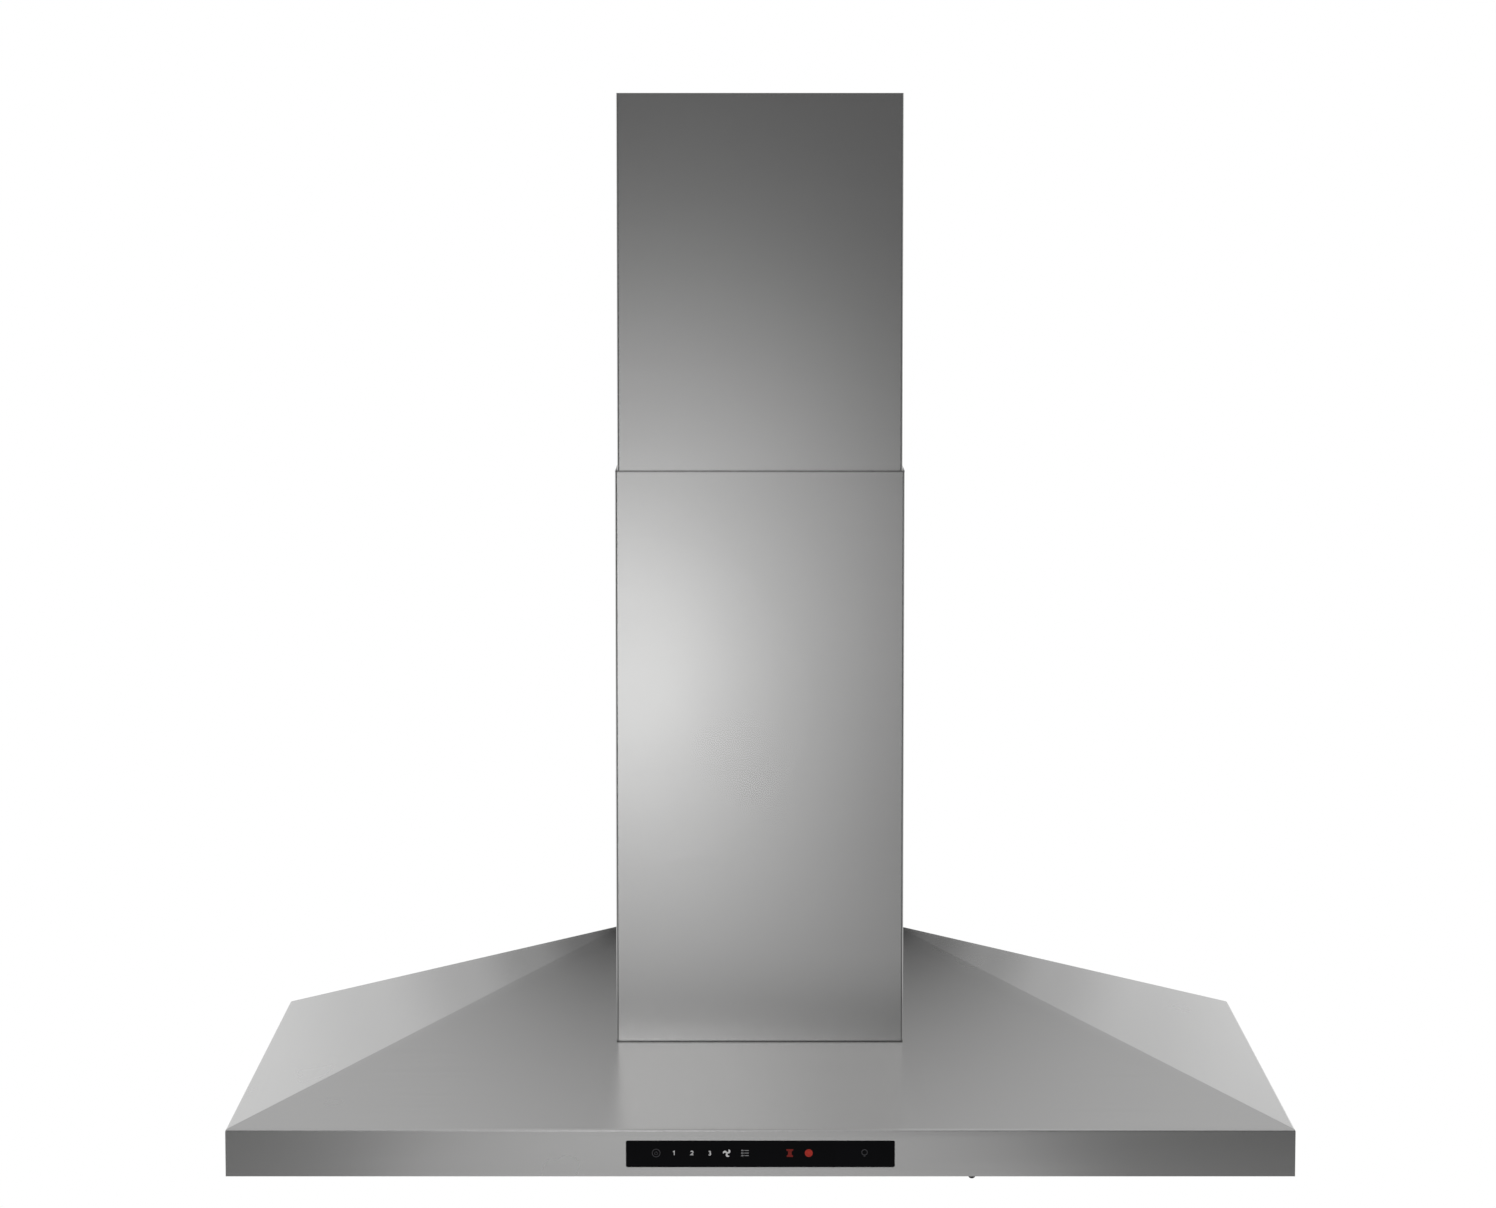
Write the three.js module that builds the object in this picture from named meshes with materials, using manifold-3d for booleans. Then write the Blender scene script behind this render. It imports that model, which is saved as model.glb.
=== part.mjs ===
// A wall-hung chimney cooker hood: a shallow folded-steel canopy with a touch panel, a telescopic
// chimney, a double-inlet blower, non-return flaps and three tilt-down grease filters.
// Millimetres, +Z up. The wall is the plane Y = 0 and the hood's front faces -Y.
// Heights named ..._Z are measured from the canopy's lower rim; the finished group is lowered so
// that the origin lies on the wall, on the centre line, at the height of the hanging slots.
import * as THREE from "three";
import { mergeVertices } from "three/addons/utils/BufferGeometryUtils.js";
import { ConvexGeometry } from "three/addons/geometries/ConvexGeometry.js";
import Module from "manifold-3d";

const wasm = await Module();
wasm.setup();

// ---------------------------------------------------------------- driving dimensions
// Fits
const SHEET = 1; // steel sheet of the canopy, tray and chimney
const GAP = 0.3; // clearance where one piece is seated on another
const OVER = 2; // how far a cutting body runs past what it cuts
const SINK = 0.1; // how far joined bodies reach into each other

// Canopy
const HOOD_WIDTH = 898;
const HOOD_DEPTH = 500;
const SKIRT_HEIGHT = 40;
const ROOF_RISE = 74.5; // skirt top to the roof's rear edge
const RIDGE_MARGIN = 2.7; // roof's rear edge past the chimney, each side
const FOLD = 1.6; // height taken by the rounded fold between skirt and roof
const RIM_LIP = 20; // inward lip around the lower rim
const HANG_HEIGHT = 70; // hanging slots above the rim
const HANG_SPACING = 360; // between the two hanging slots
const KEYHOLE_HEAD_RADIUS = 5.5;
const KEYHOLE_SLOT_WIDTH = 6;
const KEYHOLE_RISE = 13;

// Touch panel
const GLASS_WIDTH = 225;
const GLASS_HEIGHT = 22.2;
const GLASS_THICKNESS = 3;
const GLASS_PROUD = 0.4;
const GLASS_CORNER = 1;
const GLASS_Z = 19.3; // centre of the glass
const CARRIER_MARGIN = 5; // carrier past the glass, each way
const CARRIER_DEPTH = 14;
const CARRIER_WALL = 2;
const BOARD_THICKNESS = 1.6;
const CHIP_SIZE = 16;
const CHIP_HEIGHT = 2;
const SOCKET_WIDTH = 14;
const SOCKET_HEIGHT = 8;
const SOCKET_DEPTH = 5;
const RECEIVER_X = 178;
const RECEIVER_SETBACK = 9; // behind the skirt's face
const RECEIVER_RADIUS = 3;
const RECEIVER_DROP = 4; // below the rim

// Underside tray and lamps
const TRAY_Z = 14; // underside of the tray
const BAY_LIP = 6; // folded-up edge of each filter bay
const LAMP_INSET = 130; // lamp centre inside the tray's end
const LAMP_SETBACK = 58; // lamp centre behind the skirt's face
const LAMP_BODY_RADIUS = 28;
const LAMP_FLANGE_RADIUS = 33;
const LAMP_HEIGHT = 16; // lamp body above the tray's underside
const LENS_RADIUS = 24;

// Grease filters
const FILTER_COUNT = 3;
const FILTER_DEPTH = 318;
const FILTER_THICKNESS = 9;
const FILTER_SPACE = 16; // between two filters
const FILTER_INSET = 28.5; // outer filter's edge inside the tray's end
const FILTER_FRONT = 104; // filter's front edge behind the skirt's face
const FILTER_SIDE_GAP = 1.5;
const FILTER_REAR_GAP = 2.5;
const FILTER_RAIL = 14; // rim of the filter frame
const MESH_COLUMNS = 5;
const MESH_ROWS = 9;
const MESH_WEB = 6; // metal left between two openings
const TONGUE_WIDTH = 20;
const TONGUE_REACH = 6;
const TONGUE_SPACING = 160;
const TONGUE_LIFT = 0.8; // tongue above the tray it hangs on, which lets it roll
const LATCH_POCKET_WIDTH = 60;
const LATCH_POCKET_DEPTH = 30;
const LATCH_WIDTH = 56;
const LATCH_LENGTH = 12;
const LATCH_TRAVEL = 7;
const LATCH_BOLT_WIDTH = 24;
const LATCH_BOLT_REACH = 2.5; // bolt past the bay's front lip
const LATCH_GRIP_WIDTH = 44;
const LATCH_GRIP_DROP = 7; // finger grip below the filter
const LATCH_GRIP_THICKNESS = 4;
const SPRING_RADIUS = 2.6;
const SPRING_WIRE = 0.45; // radius of the wire
const SPRING_CURLS = 3;

// Chimney
const CHIMNEY_WIDTH = 253.4;
const CHIMNEY_DEPTH = 301;
const CHIMNEY_BEND = 2; // outer radius of the folded corners
const CHIMNEY_FLANGE = 15; // return flange against the wall
const LOWER_TOP_Z = 577;
const SLIDE_GAP = 0.95; // between the two chimney covers
const UPPER_TOP_Z = 905.6;
const UPPER_LENGTH = 500;
const SLOT_ROWS = 5;
const SLOT_COLUMNS = 2;
const SLOT_LENGTH = 55;
const SLOT_WIDTH = 5;
const SLOT_PITCH = 12;
const SLOT_COLUMN_PITCH = 80;
const SLOTS_BELOW_TOP = 70; // first row of air slots
const BRACKET_SHEET = 1.5;
const BRACKET_HEIGHT = 25;
const BRACKET_BELOW_TOP = 15;
const BRACKET_STANDOFF = 8; // bracket's arms ahead of the wall
const BRACKET_ARM = 34;
const FOOT_WIDTH = 30;
const FOOT_HEIGHT = 24;
const FOOT_SETBACK = 60; // centre of the chimney's foot ahead of the wall
const SCREW_RADIUS = 1.9;
const SCREW_HEAD_RADIUS = 3.8;
const SCREW_HEAD_HEIGHT = 2;
const SCREW_LENGTH = 7;

// Suction box and blower
const BOX_SIDE_ROOM = 14.7; // chimney's face to the box, each side
const BOX_REAR = 18; // ahead of the wall
const BOX_DEPTH = 265;
const BOX_TOP_Z = 380;
const BOX_FLANGE = 6;
const BLOWER_Z = 245; // fan axis
const BLOWER_Y = -161;
const SCROLL_SHEET = 1.2;
const SCROLL_WIDTH = 146; // between the side plates
const SCROLL_START_RADIUS = 92; // at the cut-off
const SCROLL_END_RADIUS = 122; // at the back, where the outlet starts
const SCROLL_START_ANGLE = 105; // degrees from the rear, over the top
const SCROLL_STEPS = 22;
const INLET_RADIUS = 66;
const INLET_BELL = 9; // radius of the rounded inlet
const INLET_SHEET = 1.2;
const INLET_FLANGE = 6;
const FAN_RADIUS = 85;
const FAN_INNER_RADIUS = 70;
const FAN_WIDTH = 136;
const FAN_BLADES = 24;
const FAN_BLADE_SHEET = 1.2;
const FAN_RING = 2;
const FAN_HUB_RADIUS = 14;
const FAN_HUB_LENGTH = 20;
const SHAFT_RADIUS = 4;
const SHAFT_IN_MOTOR = 26;
const MOTOR_RADIUS = 42;
const MOTOR_LENGTH = 56;
const MOTOR_BOSS_RADIUS = 20;
const MOTOR_SHOULDER = 6;
const SPIDER_SHEET = 2;
const SPIDER_ARMS = 3;
const SPIDER_ARM_WIDTH = 14;
const SPIDER_PLATE_RADIUS = 34;
const BUSH_RADIUS = 6;
const BUSH_BORE = 2.2;
const BUSH_CIRCLE = 89.5;

// Outlet collar and non-return flaps
const COLLAR_RADIUS = 75; // fits a 150 mm duct
const COLLAR_WALL = 2;
const COLLAR_HEIGHT = 50;
const COLLAR_FLANGE = 13;
const COLLAR_FLANGE_THICKNESS = 2.5;
const COLLAR_LEDGE = 3.5; // ledge that the closed flaps rest on
const COLLAR_BEAD = 1.2;
const BRIDGE_WIDTH = 5;
const BRIDGE_HEIGHT = 8;
const FLAP_SHEET = 1.5;
const FLAP_AXIS_OFFSET = 6; // flap's axis from the centre line
const FLAP_AXIS_LIFT = 3; // flap's axis above the ledge
const FLAP_PIN_RADIUS = 1;
const FLAP_KNUCKLE_RADIUS = 1.9;
const FLAP_EAR = 3; // thickness of the bridge's ears

// Electronics
const CASE_WIDTH = 190;
const CASE_DEPTH = 78;
const CASE_HEIGHT = 38;
const CASE_WALL = 1.5;
const BOARD_LENGTH = 100;
const BOARD_WIDTH = 60;
const BOARD_END_ROOM = 12; // board to the case's wall, for the gland's nut
const BOARD_LEG = 6;
const BOARD_LEG_HEIGHT = 4;
const TRANSFORMER = [28, 32, 19]; // width, length, height
const RELAY = [8, 18, 13];
const RELAY_COUNT = 4;
const RELAY_PITCH = 10;
const TERMINAL_WIDTH = 18;
const TERMINAL_LENGTH = 40;
const TERMINAL_HEIGHT = 14;
const TERMINAL_WELLS = 3;
const TERMINAL_WELL = 8;
const TERMINAL_ROOM = 4; // round the terminal block
const CAPACITOR_X = -80;
const CAPACITOR_RADIUS = 13;
const CAPACITOR_LENGTH = 52;
const GLAND_RADIUS = 9;
const GLAND_BORE = 4;
const CABLE_RADIUS = 2.5;
const LEAD_RADIUS = 1.8;
const CABLE_X = 60;

// ---------------------------------------------------------------- places worked out from them
const HALF_WIDTH = HOOD_WIDTH / 2;
const RIDGE_HALF = CHIMNEY_WIDTH / 2 + RIDGE_MARGIN;
const ROOF_SLOPE = ROOF_RISE / HOOD_DEPTH;
const SIDE_SLOPE = ROOF_RISE / (HALF_WIDTH - RIDGE_HALF);
const ROOF_DROP = SHEET * Math.sqrt(1 + SIDE_SLOPE * SIDE_SLOPE); // roof sheet, measured upright
const roofZ = (y) => SKIRT_HEIGHT + ROOF_SLOPE * (y + HOOD_DEPTH);

const TRAY_HALF = HALF_WIDTH - RIM_LIP + SHEET;
const TRAY_FRONT = -HOOD_DEPTH + RIM_LIP - SHEET;
const TRAY_REAR = -RIM_LIP + SHEET;
const TRAY_TOP = TRAY_Z + SHEET;
const LAMP_X = TRAY_HALF - LAMP_INSET;
const LAMP_Y = -HOOD_DEPTH + LAMP_SETBACK;

const FILTER_FRONT_Y = -HOOD_DEPTH + FILTER_FRONT;
const FILTER_REAR_Y = FILTER_FRONT_Y + FILTER_DEPTH;
const FILTER_TOP = TRAY_Z + FILTER_THICKNESS;
const BAY_FRONT_Y = FILTER_FRONT_Y - FILTER_SIDE_GAP;
const BAY_REAR_Y = FILTER_REAR_Y + FILTER_REAR_GAP;
const BAY_LIP_TOP = TRAY_TOP + BAY_LIP;
const FILTER_ROW = 2 * (TRAY_HALF - FILTER_INSET);
const FILTER_WIDTH = (FILTER_ROW - (FILTER_COUNT - 1) * FILTER_SPACE) / FILTER_COUNT;
const FILTER_PITCH = FILTER_WIDTH + FILTER_SPACE;
const BAY_HALF = FILTER_WIDTH / 2 + FILTER_SIDE_GAP;
const filterX = (i) => (i - (FILTER_COUNT - 1) / 2) * FILTER_PITCH;

const LOWER_INSIDE = CHIMNEY_WIDTH / 2 - SHEET;
const UPPER_WIDTH = CHIMNEY_WIDTH - 2 * (SHEET + SLIDE_GAP);
const UPPER_FRONT = -CHIMNEY_DEPTH + SHEET + SLIDE_GAP;
const UPPER_BACK = -SHEET - SLIDE_GAP;
const UPPER_INSIDE = UPPER_WIDTH / 2 - SHEET;

const BOX_HALF = CHIMNEY_WIDTH / 2 - BOX_SIDE_ROOM;
const BOX_FRONT_Y = -BOX_REAR - BOX_DEPTH;
const BOX_REAR_Y = -BOX_REAR;
const CABLE_Y = (BOX_FRONT_Y - BOX_FLANGE + UPPER_FRONT + SHEET) / 2;

// The outlet is as deep as the scroll is wide, so that the round collar fits over it.
const SCROLL_REAR = SCROLL_END_RADIUS;
const SCROLL_FRONT = SCROLL_REAR - SCROLL_WIDTH;
const SCROLL_TOP = BOX_TOP_Z - SHEET - GAP - BLOWER_Z;
const SCROLL_HALF = SCROLL_WIDTH / 2;
const PLATE_OUT = SCROLL_HALF + SCROLL_SHEET;
const BELL_OUT = PLATE_OUT + GAP + INLET_BELL;
const SPIDER_IN = BELL_OUT + 1.2; // spider's inner face, clear of the inlet ring

const COLLAR_Y = BLOWER_Y + (SCROLL_REAR + SCROLL_FRONT) / 2;
const COLLAR_INSIDE = COLLAR_RADIUS - COLLAR_WALL;
const LEDGE_TOP = GAP + COLLAR_FLANGE_THICKNESS;
const FLAP_AXIS_Z = LEDGE_TOP + FLAP_AXIS_LIFT;

const CASE_REAR_Y = BOX_FRONT_Y + 3 + CASE_DEPTH;
const CASE_FRONT_Y = BOX_FRONT_Y + 3;
const CASE_Z = BOX_TOP_Z + GAP;

// ---------------------------------------------------------------- materials
const finish = (color, metalness, roughness, more = {}) =>
  new THREE.MeshStandardMaterial({ color, metalness, roughness, ...more });

const brushedSteel = finish(0x9c9c9c, 1, 0.36);
const galvanised = finish(0xa9adb0, 1, 0.5);
const aluminium = finish(0xc3c5c8, 1, 0.38);
const blackGlass = finish(0x06070a, 0, 0.06);
const blackPlastic = finish(0x1a1b1d, 0, 0.55);
const greyPlastic = finish(0x6d7074, 0, 0.6);
const whitePlastic = finish(0xe6e6e2, 0, 0.5);
const lampLens = finish(0xf2f2ea, 0, 0.25, { transparent: true, opacity: 0.8 });
const rubber = finish(0x232323, 0, 0.9);
const zincPlate = finish(0xb8bcc2, 1, 0.3);
const motorSteel = finish(0x8b8f94, 1, 0.45);
const boardGreen = finish(0x1d5b38, 0, 0.5);
const cableGrey = finish(0x4a4c50, 0, 0.65);

// ---------------------------------------------------------------- solids
// A geometry with its shared vertices merged becomes a solid for cutting and joining.
function solid(geometry) {
  const bare = geometry.index ? geometry.toNonIndexed() : geometry.clone();
  for (const name of Object.keys(bare.attributes)) {
    if (name !== "position") bare.deleteAttribute(name);
  }
  const merged = mergeVertices(bare, 1e-4);
  return new wasm.Manifold(
    new wasm.Mesh({
      numProp: 3,
      vertProperties: merged.attributes.position.array,
      triVerts: new Uint32Array(merged.index.array),
    }),
  );
}

function geometryOf(manifold) {
  const mesh = manifold.getMesh();
  const position = new Float32Array(mesh.numVert * 3);
  for (let i = 0; i < mesh.numVert; i++) {
    const from = i * mesh.numProp;
    position.set(mesh.vertProperties.subarray(from, from + 3), i * 3);
  }
  const geometry = new THREE.BufferGeometry();
  geometry.setAttribute("position", new THREE.BufferAttribute(position, 3));
  geometry.setIndex(new THREE.BufferAttribute(mesh.triVerts, 1));
  const flat = geometry.toNonIndexed();
  flat.computeVertexNormals();
  return flat;
}

const joined = (first, ...rest) => rest.reduce((all, next) => all.add(next), first);
const cut = (first, ...rest) => rest.reduce((left, next) => left.subtract(next), first);

function box(x0, x1, y0, y1, z0, z1) {
  const geometry = new THREE.BoxGeometry(x1 - x0, y1 - y0, z1 - z0);
  return solid(geometry.translate((x0 + x1) / 2, (y0 + y1) / 2, (z0 + z1) / 2));
}

const shapeOf = (points) => new THREE.Shape(points.map(([a, b]) => new THREE.Vector2(a, b)));

// Shapes drawn in plan (XY), in elevation (XZ) or in side view (YZ), pushed along the third axis.
const turnToXZ = new THREE.Matrix4().set(1, 0, 0, 0, 0, 0, -1, 0, 0, 1, 0, 0, 0, 0, 0, 1);
const turnToYZ = new THREE.Matrix4().set(0, 0, 1, 0, 1, 0, 0, 0, 0, 1, 0, 0, 0, 0, 0, 1);

function extruded(shape, depth, curveSegments = 3) {
  return new THREE.ExtrudeGeometry(shape, { depth, bevelEnabled: false, curveSegments });
}

const prismXY = (shape, z0, z1, segments) =>
  solid(extruded(shape, z1 - z0, segments).translate(0, 0, z0));

const prismXZ = (shape, y0, y1, segments) =>
  solid(extruded(shape, y1 - y0, segments).applyMatrix4(turnToXZ).translate(0, y1, 0));

const prismYZ = (shape, x0, x1, segments) =>
  solid(extruded(shape, x1 - x0, segments).applyMatrix4(turnToYZ).translate(x0, 0, 0));

// A body of revolution round Z from [radius, z] points, closed on itself or on the axis.
function revolved(points, segments = 28) {
  const profile = points.map(([r, z]) => new THREE.Vector2(r, z));
  if (points[0][0] > 0) profile.push(profile[0].clone());
  return new THREE.LatheGeometry(profile, segments).rotateX(Math.PI / 2);
}

// The same round X, for the fan and motor: points are [radius, x].
const revolvedX = (points, segments) => revolved(points, segments).rotateY(Math.PI / 2);

function rod(radius, x0, x1, segments = 16) {
  const geometry = new THREE.CylinderGeometry(radius, radius, x1 - x0, segments);
  return geometry.rotateZ(Math.PI / 2).translate((x0 + x1) / 2, 0, 0);
}

function post(radius, z0, z1, segments = 24) {
  const geometry = new THREE.CylinderGeometry(radius, radius, z1 - z0, segments);
  return geometry.rotateX(Math.PI / 2).translate(0, 0, (z0 + z1) / 2);
}

function roundedRectangle(width, height, radius) {
  const [w, h] = [width / 2, height / 2];
  const shape = new THREE.Shape();
  shape.moveTo(-w + radius, -h);
  shape.lineTo(w - radius, -h);
  shape.absarc(w - radius, -h + radius, radius, -Math.PI / 2, 0, false);
  shape.lineTo(w, h - radius);
  shape.absarc(w - radius, h - radius, radius, 0, Math.PI / 2, false);
  shape.lineTo(-w + radius, h);
  shape.absarc(-w + radius, h - radius, radius, Math.PI / 2, Math.PI, false);
  shape.lineTo(-w, -h + radius);
  shape.absarc(-w + radius, -h + radius, radius, Math.PI, Math.PI * 1.5, false);
  return shape;
}

// A cable: a many-sided section carried along a smooth curve through the points.
function cable(points, radius, steps) {
  const path = new THREE.CatmullRomCurve3(
    points.map(([x, y, z]) => new THREE.Vector3(x, y, z)),
    false,
    "centripetal",
  );
  const section = new THREE.Shape();
  for (let i = 0; i < 8; i++) {
    const angle = (i / 8) * 2 * Math.PI;
    const [a, b] = [radius * Math.cos(angle), radius * Math.sin(angle)];
    if (i) section.lineTo(a, b);
    else section.moveTo(a, b);
  }
  return new THREE.ExtrudeGeometry(section, { steps, bevelEnabled: false, extrudePath: path });
}

// Everything under the roof's front slope, raised by lift: it trims what stands on the roof.
function underRoof(lift) {
  const [front, rear] = [-HOOD_DEPTH - OVER, OVER];
  const side = shapeOf([
    [front, -SKIRT_HEIGHT],
    [rear, -SKIRT_HEIGHT],
    [rear, roofZ(rear) + lift],
    [front, roofZ(front) + lift],
  ]);
  return prismYZ(side, -HALF_WIDTH, HALF_WIDTH);
}

// ---------------------------------------------------------------- scene graph
const hood = new THREE.Group();
hood.name = "chimney_hood";
hood.position.z = -HANG_HEIGHT;

function part(name, form, material, place = hood) {
  const geometry = form.isBufferGeometry ? form : geometryOf(form);
  const mesh = new THREE.Mesh(geometry, material);
  mesh.name = name;
  place.add(mesh);
  return mesh;
}

function assembly(x, y, z) {
  const group = new THREE.Group();
  group.position.set(x, y, z);
  hood.add(group);
  return group;
}

// ---------------------------------------------------------------- canopy
const hipPoint = (share) => [
  HALF_WIDTH - share * (HALF_WIDTH - RIDGE_HALF),
  -HOOD_DEPTH + share * HOOD_DEPTH,
  SKIRT_HEIGHT + share * ROOF_RISE,
];

const mirrored = (points) =>
  points.flatMap(([x, y, z]) => [new THREE.Vector3(x, y, z), new THREE.Vector3(-x, y, z)]);

// Skirt walls, a rounded fold and the hipped roof, as one convex block.
function canopyBlock() {
  const [foldX, foldY, foldZ] = hipPoint(FOLD / (HALF_WIDTH - RIDGE_HALF));
  const middle = FOLD * 0.25;
  const points = [
    [HALF_WIDTH, -HOOD_DEPTH, 0],
    [HALF_WIDTH, 0, 0],
    [HALF_WIDTH, -HOOD_DEPTH, SKIRT_HEIGHT - FOLD],
    [HALF_WIDTH, 0, SKIRT_HEIGHT - FOLD],
    [HALF_WIDTH - middle, -HOOD_DEPTH + middle, SKIRT_HEIGHT - middle],
    [HALF_WIDTH - middle, 0, SKIRT_HEIGHT - middle],
    [foldX, foldY, foldZ],
    [foldX, 0, foldZ],
    [RIDGE_HALF, 0, SKIRT_HEIGHT + ROOF_RISE],
  ];
  return solid(new ConvexGeometry(mirrored(points)));
}

// The room inside the sheet, run out past the open back.
function canopyRoom() {
  const wall = HALF_WIDTH - SHEET;
  const [, hipY, hipZ] = hipPoint(SHEET / (HALF_WIDTH - RIDGE_HALF));
  const ridgeZ = SKIRT_HEIGHT + ROOF_RISE - ROOF_DROP;
  const points = [
    [wall, -HOOD_DEPTH + SHEET, SHEET],
    [wall, OVER, SHEET],
    [wall, -HOOD_DEPTH + SHEET, roofZ(-HOOD_DEPTH + SHEET) - ROOF_DROP],
    [wall, hipY, hipZ - ROOF_DROP],
    [wall, OVER, hipZ - ROOF_DROP],
    [RIDGE_HALF, 0, ridgeZ],
    [RIDGE_HALF, OVER, ridgeZ],
  ];
  return solid(new ConvexGeometry(mirrored(points)));
}

function canopyShell() {
  const lip = HALF_WIDTH - RIM_LIP;
  const rimOpening = box(-lip, lip, -HOOD_DEPTH + RIM_LIP, OVER, -OVER, SHEET + OVER);
  const inlet = BOX_HALF - SHEET - GAP * 10;
  const airOpening = box(
    -inlet,
    inlet,
    BOX_FRONT_Y + BOX_HALF - inlet,
    BOX_REAR_Y - BOX_HALF + inlet,
    SKIRT_HEIGHT,
    SKIRT_HEIGHT + ROOF_RISE + OVER,
  );
  const window = prismXZ(
    roundedRectangle(GLASS_WIDTH + 2 * GAP, GLASS_HEIGHT + 2 * GAP, GLASS_CORNER + GAP),
    -HOOD_DEPTH - OVER,
    -HOOD_DEPTH + SHEET + OVER,
  ).translate([0, 0, GLASS_Z]);
  const receiverHole = solid(post(RECEIVER_RADIUS + GAP, -OVER, SHEET + OVER, 16)).translate([
    RECEIVER_X,
    -HOOD_DEPTH + RECEIVER_SETBACK,
    0,
  ]);
  const cableHole = solid(
    post(CABLE_RADIUS + 1, SKIRT_HEIGHT, SKIRT_HEIGHT + ROOF_RISE, 16),
  ).translate([CABLE_X, CABLE_Y, 0]);
  return cut(canopyBlock(), canopyRoom(), rimOpening, airOpening, window, receiverHole, cableHole);
}

part("canopy_shell", canopyShell(), brushedSteel);

// A round hole that the screw's head passes, and a slot above it that the shank hangs in.
function keyhole(x) {
  const head = new THREE.Shape();
  head.absarc(x, HANG_HEIGHT - KEYHOLE_RISE, KEYHOLE_HEAD_RADIUS, 0, 2 * Math.PI, false);
  const slot = roundedRectangle(
    KEYHOLE_SLOT_WIDTH,
    KEYHOLE_RISE + KEYHOLE_SLOT_WIDTH / 2,
    KEYHOLE_SLOT_WIDTH / 2 - 0.01,
  );
  const middle = HANG_HEIGHT - KEYHOLE_RISE / 2 + KEYHOLE_SLOT_WIDTH / 4;
  return joined(
    prismXZ(head, -SHEET - OVER, OVER, 8),
    prismXZ(slot, -SHEET - OVER, OVER).translate([x, 0, middle]),
  );
}

function rearPanel() {
  const wall = HALF_WIDTH - SHEET - GAP;
  const lip = HALF_WIDTH - RIM_LIP - GAP;
  const eaves = SKIRT_HEIGHT + (SHEET + GAP) * SIDE_SLOPE - ROOF_DROP - GAP;
  const ridge = SKIRT_HEIGHT + ROOF_RISE - ROOF_DROP - GAP - SHEET * ROOF_SLOPE;
  const outline = shapeOf([
    [-wall, SHEET + GAP],
    [wall, SHEET + GAP],
    [wall, eaves - SHEET * ROOF_SLOPE],
    [RIDGE_HALF, ridge],
    [-RIDGE_HALF, ridge],
    [-wall, eaves - SHEET * ROOF_SLOPE],
  ]);
  const plate = prismXZ(outline, -SHEET, 0);
  const web = box(-lip, lip, -SHEET, 0, 0, SHEET + OVER);
  const lowerLip = box(-lip, lip, -RIM_LIP, 0, 0, SHEET);
  return cut(joined(plate, web, lowerLip), keyhole(-HANG_SPACING / 2), keyhole(HANG_SPACING / 2));
}

part("rear_panel", rearPanel(), galvanised);

// ---------------------------------------------------------------- touch panel
part(
  "control_glass",
  prismXZ(
    roundedRectangle(GLASS_WIDTH, GLASS_HEIGHT, GLASS_CORNER),
    -HOOD_DEPTH - GLASS_PROUD,
    -HOOD_DEPTH - GLASS_PROUD + GLASS_THICKNESS,
  ).translate([0, 0, GLASS_Z]),
  blackGlass,
);

const CARRIER_FRONT = -HOOD_DEPTH + SHEET + GAP;
const CARRIER_FLOOR = -HOOD_DEPTH - GLASS_PROUD + GLASS_THICKNESS + GAP;
const CARRIER_HALF = GLASS_WIDTH / 2 + CARRIER_MARGIN;

function controlCarrier() {
  const tall = GLASS_HEIGHT / 2 + CARRIER_MARGIN;
  const [roomHalf, roomTall] = [CARRIER_HALF - CARRIER_WALL, tall - CARRIER_WALL];
  const block = box(
    -CARRIER_HALF,
    CARRIER_HALF,
    CARRIER_FRONT,
    CARRIER_FRONT + CARRIER_DEPTH,
    GLASS_Z - tall,
    GLASS_Z + tall,
  );
  const glassSeat = box(
    -GLASS_WIDTH / 2 - GAP,
    GLASS_WIDTH / 2 + GAP,
    CARRIER_FRONT - OVER,
    CARRIER_FLOOR,
    GLASS_Z - GLASS_HEIGHT / 2 - GAP,
    GLASS_Z + GLASS_HEIGHT / 2 + GAP,
  );
  const boardRoom = box(
    -roomHalf,
    roomHalf,
    CARRIER_FLOOR + CARRIER_WALL,
    CARRIER_FRONT + CARRIER_DEPTH + OVER,
    GLASS_Z - roomTall,
    GLASS_Z + roomTall,
  );
  return cut(block, glassSeat, boardRoom);
}

part("control_carrier", controlCarrier(), blackPlastic);

function touchBoard() {
  const front = CARRIER_FLOOR + CARRIER_WALL + GAP;
  const half = CARRIER_HALF - CARRIER_WALL - GAP;
  const tall = GLASS_HEIGHT / 2 + CARRIER_MARGIN - CARRIER_WALL - GAP;
  const board = box(-half, half, front, front + BOARD_THICKNESS, GLASS_Z - tall, GLASS_Z + tall);
  const rear = front + BOARD_THICKNESS;
  const c = CHIP_SIZE / 2;
  const chip = box(-c, c, rear - SINK, rear + CHIP_HEIGHT, GLASS_Z - c, GLASS_Z + c);
  const [w, h] = [SOCKET_WIDTH / 2, SOCKET_HEIGHT / 2];
  const out = rear + SOCKET_DEPTH;
  const socket = box(CABLE_X - w, CABLE_X + w, rear - SINK, out, GLASS_Z - h, GLASS_Z + h);
  return joined(board, chip, socket);
}

part("touch_board", touchBoard(), boardGreen);

part(
  "infrared_receiver",
  revolved(
    [
      [0, -RECEIVER_DROP],
      [RECEIVER_RADIUS * 0.6, -RECEIVER_DROP * 0.9],
      [RECEIVER_RADIUS * 0.9, -RECEIVER_DROP * 0.65],
      [RECEIVER_RADIUS, -RECEIVER_DROP * 0.4],
      [RECEIVER_RADIUS, SHEET + GAP],
      [RECEIVER_RADIUS + 2, SHEET + GAP],
      [RECEIVER_RADIUS + 2, SHEET + GAP + 2],
      [0, SHEET + GAP + 2],
    ],
    14,
  ),
  blackPlastic,
  assembly(RECEIVER_X, -HOOD_DEPTH + RECEIVER_SETBACK, 0),
);

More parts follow.
